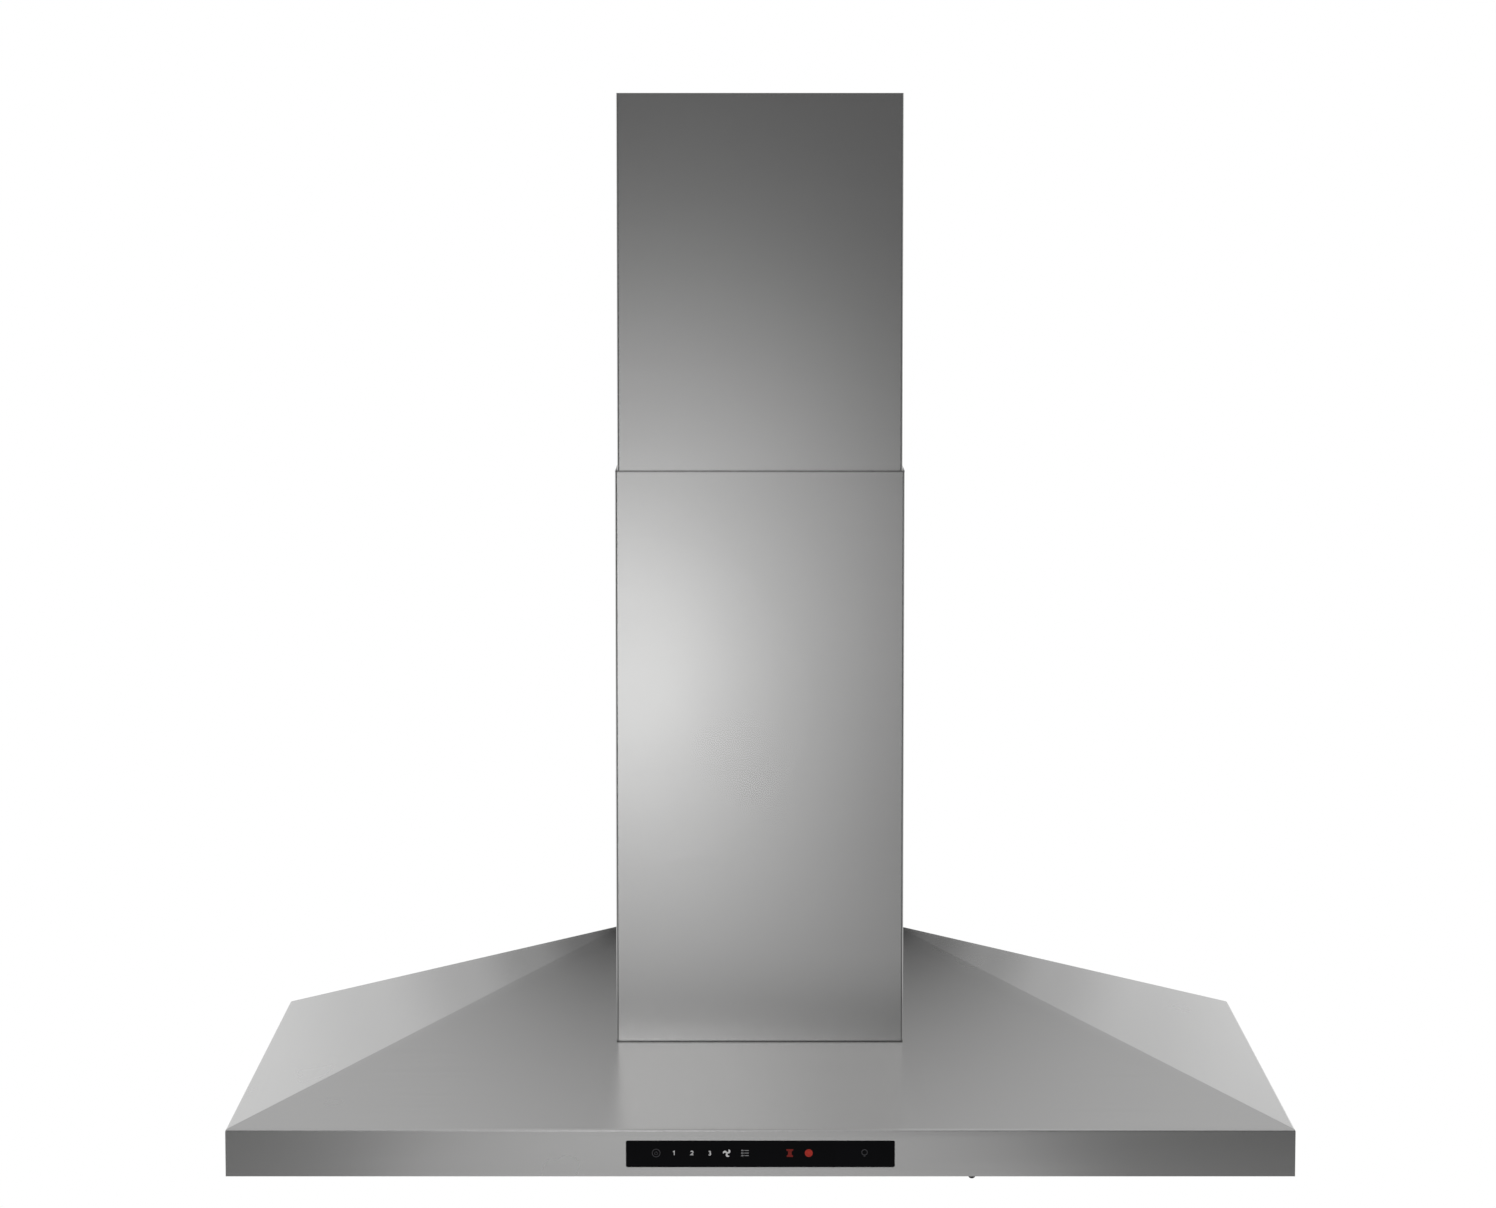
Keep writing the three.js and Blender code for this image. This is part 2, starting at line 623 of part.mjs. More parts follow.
// ---------------------------------------------------------------- underside tray
function frameOf(x0, x1, y0, y1, z0, z1, sheet) {
  const outer = box(x0, x1, y0, y1, z0, z1);
  return outer.subtract(box(x0 + sheet, x1 - sheet, y0 + sheet, y1 - sheet, z0 - OVER, z1 + OVER));
}

function undersideTray() {
  const plate = box(-TRAY_HALF, TRAY_HALF, TRAY_FRONT, TRAY_REAR, TRAY_Z, TRAY_TOP);
  const rim = frameOf(-TRAY_HALF, TRAY_HALF, TRAY_FRONT, TRAY_REAR, SHEET + GAP, TRAY_TOP, SHEET);
  let tray = joined(plate, rim);
  for (let i = 0; i < FILTER_COUNT; i++) {
    const [x0, x1] = [filterX(i) - BAY_HALF, filterX(i) + BAY_HALF];
    const rearEnd = BAY_REAR_Y - FILTER_REAR_GAP;
    const lip = box(x0 - SHEET, x1 + SHEET, BAY_FRONT_Y - SHEET, rearEnd, TRAY_Z, BAY_LIP_TOP);
    const bay = box(x0, x1, BAY_FRONT_Y, BAY_REAR_Y, TRAY_Z - OVER, BAY_LIP_TOP + OVER);
    tray = tray.add(lip).subtract(bay);
  }
  for (const side of [-1, 1]) {
    const hole = solid(post(LAMP_BODY_RADIUS + GAP, TRAY_Z - OVER, TRAY_TOP + OVER));
    tray = tray.subtract(hole.translate([side * LAMP_X, LAMP_Y, 0]));
  }
  return tray;
}

part("underside_tray", undersideTray(), brushedSteel);

// ---------------------------------------------------------------- lamps
const LENS_THICKNESS = 2;
const LAMP_FLANGE_THICKNESS = 1.5;

function addLamp(name, x) {
  const place = assembly(x, LAMP_Y, TRAY_Z);
  const under = -GAP - LAMP_FLANGE_THICKNESS;
  const seat = under + LENS_THICKNESS + GAP;
  const bezel = [
    [0, LAMP_HEIGHT],
    [LAMP_BODY_RADIUS, LAMP_HEIGHT],
    [LAMP_BODY_RADIUS, -GAP],
    [LAMP_FLANGE_RADIUS, -GAP],
    [LAMP_FLANGE_RADIUS - 1, under],
    [LENS_RADIUS + GAP, under],
    [LENS_RADIUS + GAP, seat],
    [LENS_RADIUS - 2, seat],
    [LENS_RADIUS * 0.4, LAMP_HEIGHT - 3],
    [0, LAMP_HEIGHT - 3],
  ];
  part("lamp_bezel_" + name, revolved(bezel.reverse(), 24), zincPlate, place);
  const lens = [
    [0, under - 0.6],
    [LENS_RADIUS * 0.6, under - 0.3],
    [LENS_RADIUS, under + 0.4],
    [LENS_RADIUS, under + LENS_THICKNESS],
    [0, under + LENS_THICKNESS],
  ];
  part("lamp_lens_" + name, revolved(lens, 24), lampLens, place);
}

addLamp("left", -LAMP_X);
addLamp("right", LAMP_X);

// ---------------------------------------------------------------- grease filters
const POCKET_HALF = LATCH_POCKET_WIDTH / 2;
const POCKET_REAR = FILTER_FRONT_Y + SHEET + LATCH_POCKET_DEPTH;
const LATCH_FRONT = FILTER_FRONT_Y + SHEET + 3;
const LATCH_REAR = LATCH_FRONT + LATCH_LENGTH;
const BOLT_Z = BAY_LIP_TOP + GAP;
const BOLT_TOP = FILTER_TOP - GAP / 2;
const GRIP_FRONT = LATCH_FRONT + 4;

function filterFrame() {
  const half = FILTER_WIDTH / 2;
  const [front, rear] = [FILTER_FRONT_Y, FILTER_REAR_Y];
  const rim = frameOf(-half, half, front, rear, TRAY_Z, FILTER_TOP, FILTER_RAIL);
  const groove = box(
    -half + SHEET,
    half - SHEET,
    front + SHEET,
    rear - SHEET,
    TRAY_TOP,
    FILTER_TOP - SHEET,
  );
  const [px, py] = [POCKET_HALF + SHEET, POCKET_REAR + SHEET];
  const pocket = box(-px, px, front, py, TRAY_Z, FILTER_TOP);
  const room = box(
    -POCKET_HALF,
    POCKET_HALF,
    front + SHEET,
    POCKET_REAR,
    TRAY_TOP,
    FILTER_TOP + OVER,
  );
  const boltNotch = box(
    -LATCH_BOLT_WIDTH / 2 - GAP,
    LATCH_BOLT_WIDTH / 2 + GAP,
    front - OVER,
    front + SHEET + OVER,
    BOLT_Z - GAP,
    FILTER_TOP + OVER,
  );
  const gripSlot = box(
    -LATCH_GRIP_WIDTH / 2 - GAP,
    LATCH_GRIP_WIDTH / 2 + GAP,
    GRIP_FRONT - GAP,
    GRIP_FRONT + LATCH_GRIP_THICKNESS + LATCH_TRAVEL + GAP,
    TRAY_Z - OVER,
    TRAY_TOP + OVER,
  );
  const tongues = [-1, 1].map((side) => {
    const x = (side * TONGUE_SPACING) / 2;
    const lift = TRAY_TOP + TONGUE_LIFT;
    return box(
      x - TONGUE_WIDTH / 2,
      x + TONGUE_WIDTH / 2,
      rear - SHEET,
      BAY_REAR_Y + TONGUE_REACH,
      lift,
      lift + SHEET,
    );
  });
  const channel = cut(rim, groove, pocket);
  return cut(joined(channel, pocket.subtract(room), ...tongues), boltNotch, gripSlot);
}

// The mesh pack: a sheet with staggered diamond openings.
function filterMesh() {
  const half = FILTER_WIDTH / 2 - SHEET - GAP;
  const [front, rear] = [FILTER_FRONT_Y + SHEET + GAP, FILTER_REAR_Y - SHEET - GAP];
  const [bottom, top] = [TRAY_TOP + GAP, FILTER_TOP - SHEET - GAP];
  let mesh = box(-half, half, front, rear, bottom, top);
  mesh = mesh.subtract(
    box(
      -POCKET_HALF - SHEET - GAP,
      POCKET_HALF + SHEET + GAP,
      front - OVER,
      POCKET_REAR + SHEET + GAP,
      bottom - OVER,
      top + OVER,
    ),
  );
  const openWidth = FILTER_WIDTH - 2 * FILTER_RAIL;
  const openDepth = FILTER_DEPTH - 2 * FILTER_RAIL;
  const [stepX, stepY] = [openWidth / MESH_COLUMNS, openDepth / (MESH_ROWS + 1)];
  const [w, h] = [stepX - MESH_WEB, 2 * stepY - MESH_WEB];
  const clearOf = POCKET_REAR + SHEET + MESH_WEB;
  for (let row = 0; row < MESH_ROWS; row++) {
    const shift = row % 2 ? 0.5 : 0;
    for (let column = 0; column < MESH_COLUMNS - 2 * shift; column++) {
      const x = -openWidth / 2 + (column + 0.5 + shift) * stepX;
      const y = FILTER_FRONT_Y + FILTER_RAIL + (row + 1) * stepY;
      const nearPocket = Math.abs(x) - w / 2 < POCKET_HALF + MESH_WEB;
      if (nearPocket && y - h / 2 < clearOf) continue;
      const diamond = shapeOf([
        [x - w / 2, y],
        [x, y - h / 2],
        [x + w / 2, y],
        [x, y + h / 2],
      ]);
      mesh = mesh.subtract(prismXY(diamond, bottom - OVER, top + OVER));
    }
  }
  return mesh;
}

// A block on the pocket's floor, with a bolt over the bay's lip and a grip through the slot.
function filterLatch() {
  const floor = TRAY_TOP + GAP;
  const boltFront = BAY_FRONT_Y - SHEET - LATCH_BOLT_REACH;
  const block = box(-LATCH_WIDTH / 2, LATCH_WIDTH / 2, LATCH_FRONT, LATCH_REAR, floor, BOLT_TOP);
  const bolt = box(
    -LATCH_BOLT_WIDTH / 2,
    LATCH_BOLT_WIDTH / 2,
    boltFront,
    LATCH_REAR,
    BOLT_Z,
    BOLT_TOP,
  );
  const grip = prismYZ(
    shapeOf([
      [GRIP_FRONT, floor + 1],
      [GRIP_FRONT, TRAY_Z - LATCH_GRIP_DROP + 1],
      [GRIP_FRONT + 1, TRAY_Z - LATCH_GRIP_DROP],
      [GRIP_FRONT + LATCH_GRIP_THICKNESS - 1, TRAY_Z - LATCH_GRIP_DROP],
      [GRIP_FRONT + LATCH_GRIP_THICKNESS, TRAY_Z - LATCH_GRIP_DROP + 1],
      [GRIP_FRONT + LATCH_GRIP_THICKNESS, floor + 1],
    ]),
    -LATCH_GRIP_WIDTH / 2,
    LATCH_GRIP_WIDTH / 2,
  );
  return joined(block, bolt, grip);
}

// A coil spring along Y, wound with a short flat end at each side.
function latchSpring() {
  const start = LATCH_REAR + GAP + SPRING_WIRE;
  const end = POCKET_REAR - GAP - SPRING_WIRE;
  const middle = (TRAY_TOP + FILTER_TOP) / 2;
  const [stepsPerCurl, sides] = [8, 5];
  const steps = SPRING_CURLS * stepsPerCurl;
  const positions = [];
  for (let i = 0; i <= steps; i++) {
    const angle = (i / stepsPerCurl) * 2 * Math.PI;
    const y = start + ((end - start) * i) / steps;
    for (let k = 0; k < sides; k++) {
      const turn = (k / sides) * 2 * Math.PI;
      const r = SPRING_RADIUS - SPRING_WIRE + SPRING_WIRE * Math.cos(turn);
      positions.push(
        r * Math.cos(angle),
        y + SPRING_WIRE * Math.sin(turn),
        middle + r * Math.sin(angle),
      );
    }
  }
  const index = [];
  for (let i = 0; i < steps; i++) {
    for (let k = 0; k < sides; k++) {
      const a = i * sides + k;
      const b = i * sides + ((k + 1) % sides);
      index.push(a, b, a + sides, b, b + sides, a + sides);
    }
  }
  for (let k = 1; k < sides - 1; k++) {
    const last = steps * sides;
    index.push(0, k + 1, k, last, last + k, last + k + 1);
  }
  const geometry = new THREE.BufferGeometry();
  geometry.setAttribute("position", new THREE.Float32BufferAttribute(positions, 3));
  geometry.setIndex(index);
  const gap = (end - start) / SPRING_CURLS - 2 * SPRING_WIRE;
  if (hood.userData.springGap === undefined) console.log("spring: least gap", gap.toFixed(2), "mm");
  hood.userData.springGap = gap;
  return geometry;
}

const FILTER_NAMES = ["left", "centre", "right"];

for (let i = 0; i < FILTER_COUNT; i++) {
  const name = FILTER_NAMES[i] ?? "filter" + (i + 1);
  const place = assembly(filterX(i), 0, 0);
  part(name + "_filter_frame", filterFrame(), aluminium, place);
  part(name + "_filter_mesh", filterMesh(), aluminium, place);
  part(name + "_filter_latch", filterLatch(), greyPlastic, place);
  part(name + "_latch_spring", latchSpring(), zincPlate, place);
}

// ---------------------------------------------------------------- chimney covers
// A three-sided cover in plan: rounded front corners, and flanges turned in along the wall.
function coverShape(width, front, back) {
  const [w, outer, inner] = [width / 2, CHIMNEY_BEND, CHIMNEY_BEND - SHEET];
  const [cx, cy] = [w - outer, front + outer];
  const shape = new THREE.Shape();
  shape.moveTo(-w + CHIMNEY_FLANGE, back);
  shape.lineTo(-w, back);
  shape.lineTo(-w, cy);
  shape.absarc(-cx, cy, outer, Math.PI, Math.PI * 1.5, false);
  shape.lineTo(cx, front);
  shape.absarc(cx, cy, outer, Math.PI * 1.5, Math.PI * 2, false);
  shape.lineTo(w, back);
  shape.lineTo(w - CHIMNEY_FLANGE, back);
  shape.lineTo(w - CHIMNEY_FLANGE, back - SHEET);
  shape.lineTo(w - SHEET, back - SHEET);
  shape.lineTo(w - SHEET, cy);
  shape.absarc(cx, cy, inner, 0, -Math.PI / 2, true);
  shape.lineTo(-cx, front + SHEET);
  shape.absarc(-cx, cy, inner, -Math.PI / 2, -Math.PI, true);
  shape.lineTo(-w + SHEET, back - SHEET);
  shape.lineTo(-w + CHIMNEY_FLANGE, back - SHEET);
  return shape;
}

const FOOT_Y = -FOOT_SETBACK;
const FOOT_TOP = roofZ(FOOT_Y) + FOOT_HEIGHT;
const FOOT_SCREW_Z = FOOT_TOP - 8;

// A clearance hole for a cover's screws, right across the hood.
const screwHole = (y, z) =>
  solid(rod(SCREW_RADIUS + GAP, -CHIMNEY_WIDTH, CHIMNEY_WIDTH, 12)).translate([0, y, z]);

part(
  "lower_chimney",
  cut(
    prismXY(coverShape(CHIMNEY_WIDTH, -CHIMNEY_DEPTH, 0), SKIRT_HEIGHT, LOWER_TOP_Z),
    underRoof(GAP),
    screwHole(FOOT_Y, FOOT_SCREW_Z),
  ),
  brushedSteel,
);

const BRACKET_TOP = UPPER_TOP_Z - BRACKET_BELOW_TOP;
const BRACKET_SCREW_Y = -BRACKET_STANDOFF - BRACKET_ARM * 0.7;
const BRACKET_SCREW_Z = BRACKET_TOP - BRACKET_HEIGHT / 2;

// Rows of air slots through both side walls, for use without a duct.
function airSlots() {
  const middle = (UPPER_FRONT + UPPER_BACK) / 2;
  const slots = [];
  for (let row = 0; row < SLOT_ROWS; row++) {
    for (let column = 0; column < SLOT_COLUMNS; column++) {
      const y = middle + (column - (SLOT_COLUMNS - 1) / 2) * SLOT_COLUMN_PITCH;
      const z = UPPER_TOP_Z - SLOTS_BELOW_TOP - row * SLOT_PITCH;
      const slot = roundedRectangle(SLOT_LENGTH, SLOT_WIDTH, SLOT_WIDTH / 2 - 0.01);
      slots.push(prismYZ(slot, -CHIMNEY_WIDTH, CHIMNEY_WIDTH, 1).translate([0, y, z]));
    }
  }
  return slots;
}

part(
  "upper_chimney",
  cut(
    prismXY(coverShape(UPPER_WIDTH, UPPER_FRONT, UPPER_BACK), UPPER_TOP_Z - UPPER_LENGTH, UPPER_TOP_Z),
    screwHole(BRACKET_SCREW_Y, BRACKET_SCREW_Z),
    ...airSlots(),
  ),
  brushedSteel,
);

// A strap on the wall whose ends step forward and lie inside the upper cover.
function ceilingBracket() {
  const reach = UPPER_INSIDE - GAP;
  const inner = UPPER_WIDTH / 2 - CHIMNEY_FLANGE - GAP - BRACKET_SHEET;
  const back = -BRACKET_STANDOFF;
  const t = BRACKET_SHEET;
  const half = [
    [0, 0],
    [inner + t, 0],
    [inner + t, back],
    [reach, back],
    [reach, back - BRACKET_ARM],
    [reach - t, back - BRACKET_ARM],
    [reach - t, back - t],
    [inner, back - t],
    [inner, -t],
    [0, -t],
  ];
  const right = prismXY(shapeOf(half), BRACKET_TOP - BRACKET_HEIGHT, BRACKET_TOP);
  const left = prismXY(
    shapeOf(half.map(([x, y]) => [-x, y])),
    BRACKET_TOP - BRACKET_HEIGHT,
    BRACKET_TOP,
  );
  return joined(right, left).subtract(screwHole(BRACKET_SCREW_Y, BRACKET_SCREW_Z));
}

part("ceiling_bracket", ceilingBracket(), galvanised);

// An angle that stands on the roof inside the lower cover and takes its screw.
function chimneyFoot(side) {
  const outer = LOWER_INSIDE - GAP;
  const legInner = BOX_HALF + BOX_FLANGE + GAP;
  const [y0, y1] = [FOOT_Y - FOOT_WIDTH / 2, FOOT_Y + FOOT_WIDTH / 2];
  const wall = box(outer - BRACKET_SHEET, outer, y0, y1, SKIRT_HEIGHT, FOOT_TOP);
  const leg = box(legInner, outer, y0, y1, SKIRT_HEIGHT, FOOT_TOP);
  const foot = joined(wall, leg.intersect(underRoof(GAP + BRACKET_SHEET)));
  const trimmed = cut(foot, underRoof(GAP), screwHole(FOOT_Y, FOOT_SCREW_Z));
  return side > 0 ? trimmed : trimmed.mirror([1, 0, 0]);
}

part("chimney_foot_left", chimneyFoot(-1), galvanised);
part("chimney_foot_right", chimneyFoot(1), galvanised);

// A pan-head screw whose head lies against a cover's outer face, pointing inwards.
function addScrew(name, side, face, y, z) {
  const head = SCREW_HEAD_HEIGHT;
  const screw = revolvedX(
    [
      [0, -SCREW_LENGTH],
      [SCREW_RADIUS * 0.6, -SCREW_LENGTH],
      [SCREW_RADIUS, -SCREW_LENGTH + 1.5],
      [SCREW_RADIUS, 0],
      [SCREW_HEAD_RADIUS, 0],
      [SCREW_HEAD_RADIUS, head * 0.4],
      [SCREW_HEAD_RADIUS * 0.7, head * 0.9],
      [0, head],
    ],
    10,
  );
  const mesh = part(name, screw, zincPlate, assembly(side * (face + GAP), y, z));
  if (side < 0) mesh.rotation.z = Math.PI;
}

for (const [name, side] of [["left", -1], ["right", 1]]) {
  addScrew("chimney_screw_" + name, side, CHIMNEY_WIDTH / 2, FOOT_Y, FOOT_SCREW_Z);
  addScrew("bracket_screw_" + name, side, UPPER_WIDTH / 2, BRACKET_SCREW_Y, BRACKET_SCREW_Z);
}

// ---------------------------------------------------------------- suction box
const LEAD_HOLE = [-86, CASE_FRONT_Y + CASE_DEPTH * 0.65];

const leadHole = (z0, z1) =>
  solid(post(LEAD_RADIUS + 1, z0, z1, 12)).translate([LEAD_HOLE[0], LEAD_HOLE[1], 0]);

function suctionBox() {
  const [x, front, rear] = [BOX_HALF, BOX_FRONT_Y, BOX_REAR_Y];
  const f = BOX_FLANGE;
  const outside = box(-x, x, front, rear, SKIRT_HEIGHT, BOX_TOP_Z);
  const inside = box(
    -x + SHEET,
    x - SHEET,
    front + SHEET,
    rear - SHEET,
    SKIRT_HEIGHT - OVER,
    BOX_TOP_Z - SHEET,
  );
  const flange = box(-x - f, x + f, front - f, rear + f, SKIRT_HEIGHT, BOX_TOP_Z).intersect(
    underRoof(GAP + SHEET),
  );
  const outlet = solid(post(COLLAR_INSIDE - COLLAR_LEDGE, BOX_TOP_Z - OVER * 2, BOX_TOP_Z + OVER, 28));
  return cut(
    joined(outside, flange),
    inside,
    underRoof(GAP),
    outlet.translate([0, COLLAR_Y, 0]),
    leadHole(BOX_TOP_Z - OVER * 2, BOX_TOP_Z + OVER),
  );
}

part("suction_box", suctionBox(), galvanised);

// ---------------------------------------------------------------- blower, round its own axis
const blower = assembly(0, BLOWER_Y, BLOWER_Z);

// The scroll's outline in side view: a spiral that opens to a straight outlet at the top.
function scrollShape(grow, top) {
  const points = [];
  for (let i = 0; i <= SCROLL_STEPS; i++) {
    const share = i / SCROLL_STEPS;
    const degrees = SCROLL_START_ANGLE + share * (360 - SCROLL_START_ANGLE);
    const angle = THREE.MathUtils.degToRad(degrees);
    const radius = SCROLL_START_RADIUS + share * (SCROLL_END_RADIUS - SCROLL_START_RADIUS) + grow;
    points.push([radius * Math.cos(angle), radius * Math.sin(angle)]);
  }
  points.push([SCROLL_REAR + grow, top], [SCROLL_FRONT - grow, top]);
  return shapeOf(points);
}

function scrollHousing() {
  const wrap = cut(
    prismYZ(scrollShape(SCROLL_SHEET, SCROLL_TOP), -SCROLL_HALF, SCROLL_HALF),
    prismYZ(scrollShape(0, SCROLL_TOP + OVER), -SCROLL_HALF, SCROLL_HALF),
  );
  const plates = [-PLATE_OUT, SCROLL_HALF].map((x0) =>
    cut(
      prismYZ(scrollShape(SCROLL_SHEET, SCROLL_TOP), x0, x0 + SCROLL_SHEET),
      solid(rod(INLET_RADIUS, x0 - OVER, x0 + SCROLL_SHEET + OVER, 20)),
    ),
  );
  return joined(wrap, ...plates);
}

part("scroll_housing", scrollHousing(), galvanised, blower);

// A rounded lip that leads the air into the fan's eye.
function inletRing() {
  const face = PLATE_OUT + GAP;
  const centre = [INLET_RADIUS + INLET_BELL, face];
  const arc = (radius, from, to, steps) => {
    const points = [];
    for (let i = 0; i <= steps; i++) {
      const angle = from + ((to - from) * i) / steps;
      points.push([centre[0] - radius * Math.cos(angle), centre[1] + radius * Math.sin(angle)]);
    }
    return points;
  };
  const inner = INLET_BELL - INLET_SHEET;
  return revolvedX(
    [
      ...arc(INLET_BELL, 0, Math.PI / 2, 3),
      ...arc(inner, Math.PI / 2, Math.asin(INLET_SHEET / inner), 2),
      [centre[0] + INLET_FLANGE, face + INLET_SHEET],
      [centre[0] + INLET_FLANGE, face],
    ].reverse(),
    20,
  );
}

part("inlet_ring_right", inletRing(), galvanised, blower);
part("inlet_ring_left", inletRing(), galvanised, blower).rotation.z = Math.PI;

// Forward-curved blades between a middle web and two end rings.
function impeller() {
  const half = FAN_WIDTH / 2;
  const web = solid(rod(FAN_RADIUS, -FAN_RING / 2, FAN_RING / 2, 24));
  const hub = solid(rod(FAN_HUB_RADIUS, -FAN_HUB_LENGTH / 2, FAN_HUB_LENGTH / 2, 20));
  const ring = (x0) =>
    cut(
      solid(rod(FAN_RADIUS, x0, x0 + FAN_RING, 24)),
      solid(rod(FAN_INNER_RADIUS - 1, x0 - OVER, x0 + FAN_RING + OVER, 24)),
    );
  const depth = FAN_RADIUS - FAN_INNER_RADIUS - 0.6;
  const section = new THREE.Shape();
  section.absarc(FAN_INNER_RADIUS + depth, 0, depth, Math.PI, Math.PI * 0.62, true);
  section.absarc(
    FAN_INNER_RADIUS + depth,
    0,
    depth - FAN_BLADE_SHEET,
    Math.PI * 0.62,
    Math.PI,
    false,
  );
  const blade = prismYZ(section, -half, half, 1);
  const blades = [];
  for (let i = 0; i < FAN_BLADES; i++) {
    blades.push(blade.rotate([(360 * i) / FAN_BLADES, 0, 0]));
  }
  const bore = solid(rod(SHAFT_RADIUS + GAP, -FAN_HUB_LENGTH, FAN_HUB_LENGTH, 16));
  return cut(joined(web, hub, ring(-half), ring(half - FAN_RING), ...blades), bore);
}

part("impeller", impeller(), blackPlastic, blower);

const MOTOR_FRONT = -FAN_HUB_LENGTH / 2 - 4;
const MOTOR_REAR = MOTOR_FRONT - MOTOR_LENGTH;

part(
  "motor_shaft",
  revolvedX(
    [
      [0, MOTOR_FRONT - SHAFT_IN_MOTOR],
      [SHAFT_RADIUS, MOTOR_FRONT - SHAFT_IN_MOTOR],
      [SHAFT_RADIUS, FAN_HUB_LENGTH / 2 + 3],
      [SHAFT_RADIUS - 1, FAN_HUB_LENGTH / 2 + 4],
      [0, FAN_HUB_LENGTH / 2 + 4],
    ],
    16,
  ),
  zincPlate,
  blower,
);

part(
  "motor_case",
  revolvedX(
    [
      [0, -SPIDER_IN + GAP],
      [MOTOR_BOSS_RADIUS, -SPIDER_IN + GAP],
      [MOTOR_BOSS_RADIUS, MOTOR_REAR],
      [MOTOR_RADIUS - MOTOR_SHOULDER, MOTOR_REAR],
      [MOTOR_RADIUS, MOTOR_REAR + MOTOR_SHOULDER],
      [MOTOR_RADIUS, MOTOR_FRONT - MOTOR_SHOULDER],
      [MOTOR_RADIUS - MOTOR_SHOULDER, MOTOR_FRONT],
      [SHAFT_RADIUS + GAP, MOTOR_FRONT],
      [SHAFT_RADIUS + GAP, MOTOR_FRONT - SHAFT_IN_MOTOR - GAP],
      [0, MOTOR_FRONT - SHAFT_IN_MOTOR - GAP],
    ],
    24,
  ),
  motorSteel,
  blower,
);

// Three arms that carry the motor across the left inlet, each on a rubber bush.
const armAngle = (i) => 90 + (360 * i) / SPIDER_ARMS;

function motorSpider() {
  const [x0, x1] = [-SPIDER_IN - SPIDER_SHEET, -SPIDER_IN];
  let spider = cut(
    solid(rod(SPIDER_PLATE_RADIUS, x0, x1, 24)),
    solid(rod(LEAD_RADIUS * 3, x0 - OVER, x1 + OVER, 16)),
  );
  const end = BUSH_CIRCLE + BUSH_RADIUS;
  const hole = solid(rod(BUSH_BORE, x0 - OVER, x1 + OVER, 12)).translate([0, BUSH_CIRCLE, 0]);
  for (let i = 0; i < SPIDER_ARMS; i++) {
    const arm = box(x0, x1, SPIDER_PLATE_RADIUS * 0.8, end, -SPIDER_ARM_WIDTH / 2, SPIDER_ARM_WIDTH / 2);
    spider = spider.add(arm.rotate([armAngle(i), 0, 0])).subtract(hole.rotate([armAngle(i), 0, 0]));
  }
  return spider;
}

part("motor_spider", motorSpider(), zincPlate, blower);

for (let i = 0; i < SPIDER_ARMS; i++) {
  const angle = THREE.MathUtils.degToRad(armAngle(i));
  const bush = part(
    "motor_bush_" + (i + 1),
    revolvedX(
      [
        [BUSH_BORE, SPIDER_IN - GAP],
        [BUSH_BORE, PLATE_OUT + GAP],
        [BUSH_RADIUS, PLATE_OUT + GAP],
        [BUSH_RADIUS - 1.2, (PLATE_OUT + SPIDER_IN) / 2],
        [BUSH_RADIUS, SPIDER_IN - GAP],
      ],
      14,
    ),
    rubber,
    blower,
  );
  bush.rotation.z = Math.PI;
  bush.position.set(0, BUSH_CIRCLE * Math.cos(angle), BUSH_CIRCLE * Math.sin(angle));
}

// ---------------------------------------------------------------- outlet collar and flaps
const outlet = assembly(0, COLLAR_Y, BOX_TOP_Z);

part(
  "outlet_collar",
  revolved(
    [
      [COLLAR_INSIDE - COLLAR_LEDGE, GAP],
      [COLLAR_RADIUS + COLLAR_FLANGE, GAP],
      [COLLAR_RADIUS + COLLAR_FLANGE, LEDGE_TOP],
      [COLLAR_RADIUS, LEDGE_TOP],
      [COLLAR_RADIUS, COLLAR_HEIGHT - 12],
      [COLLAR_RADIUS + COLLAR_BEAD, COLLAR_HEIGHT - 10],
      [COLLAR_RADIUS, COLLAR_HEIGHT - 8],
      [COLLAR_RADIUS - 0.6, COLLAR_HEIGHT],
      [COLLAR_INSIDE, COLLAR_HEIGHT],
      [COLLAR_INSIDE, LEDGE_TOP],
      [COLLAR_INSIDE - COLLAR_LEDGE, LEDGE_TOP],
    ],
    28,
  ),
  blackPlastic,
  outlet,
);

const EAR_OUT = Math.sqrt((COLLAR_INSIDE - 2 * GAP) ** 2 - (FLAP_AXIS_OFFSET + 3) ** 2);
const EAR_IN = EAR_OUT - FLAP_EAR;

// A bar across the collar, with an ear at each end for the flaps' pins.
function damperBridge() {
  const bottom = LEDGE_TOP + GAP;
  const w = BRIDGE_WIDTH / 2;
  const bar = box(-EAR_OUT, EAR_OUT, -w, w, bottom, bottom + BRIDGE_HEIGHT);
  const reach = FLAP_AXIS_OFFSET + 3;
  const ears = [-EAR_OUT, EAR_IN].map((x) =>
    box(x, x + FLAP_EAR, -reach, reach, bottom, FLAP_AXIS_Z + 3),
  );
  const holes = [-1, 1].map((side) =>
    solid(rod(FLAP_PIN_RADIUS + GAP, -EAR_OUT - OVER, EAR_OUT + OVER, 12)).translate([
      0,
      side * FLAP_AXIS_OFFSET,
      FLAP_AXIS_Z,
    ]),
  );
  const sockets = cut(joined(...ears), ...holes);
  return joined(bar, sockets);
}

part("damper_bridge", damperBridge(), blackPlastic, outlet);

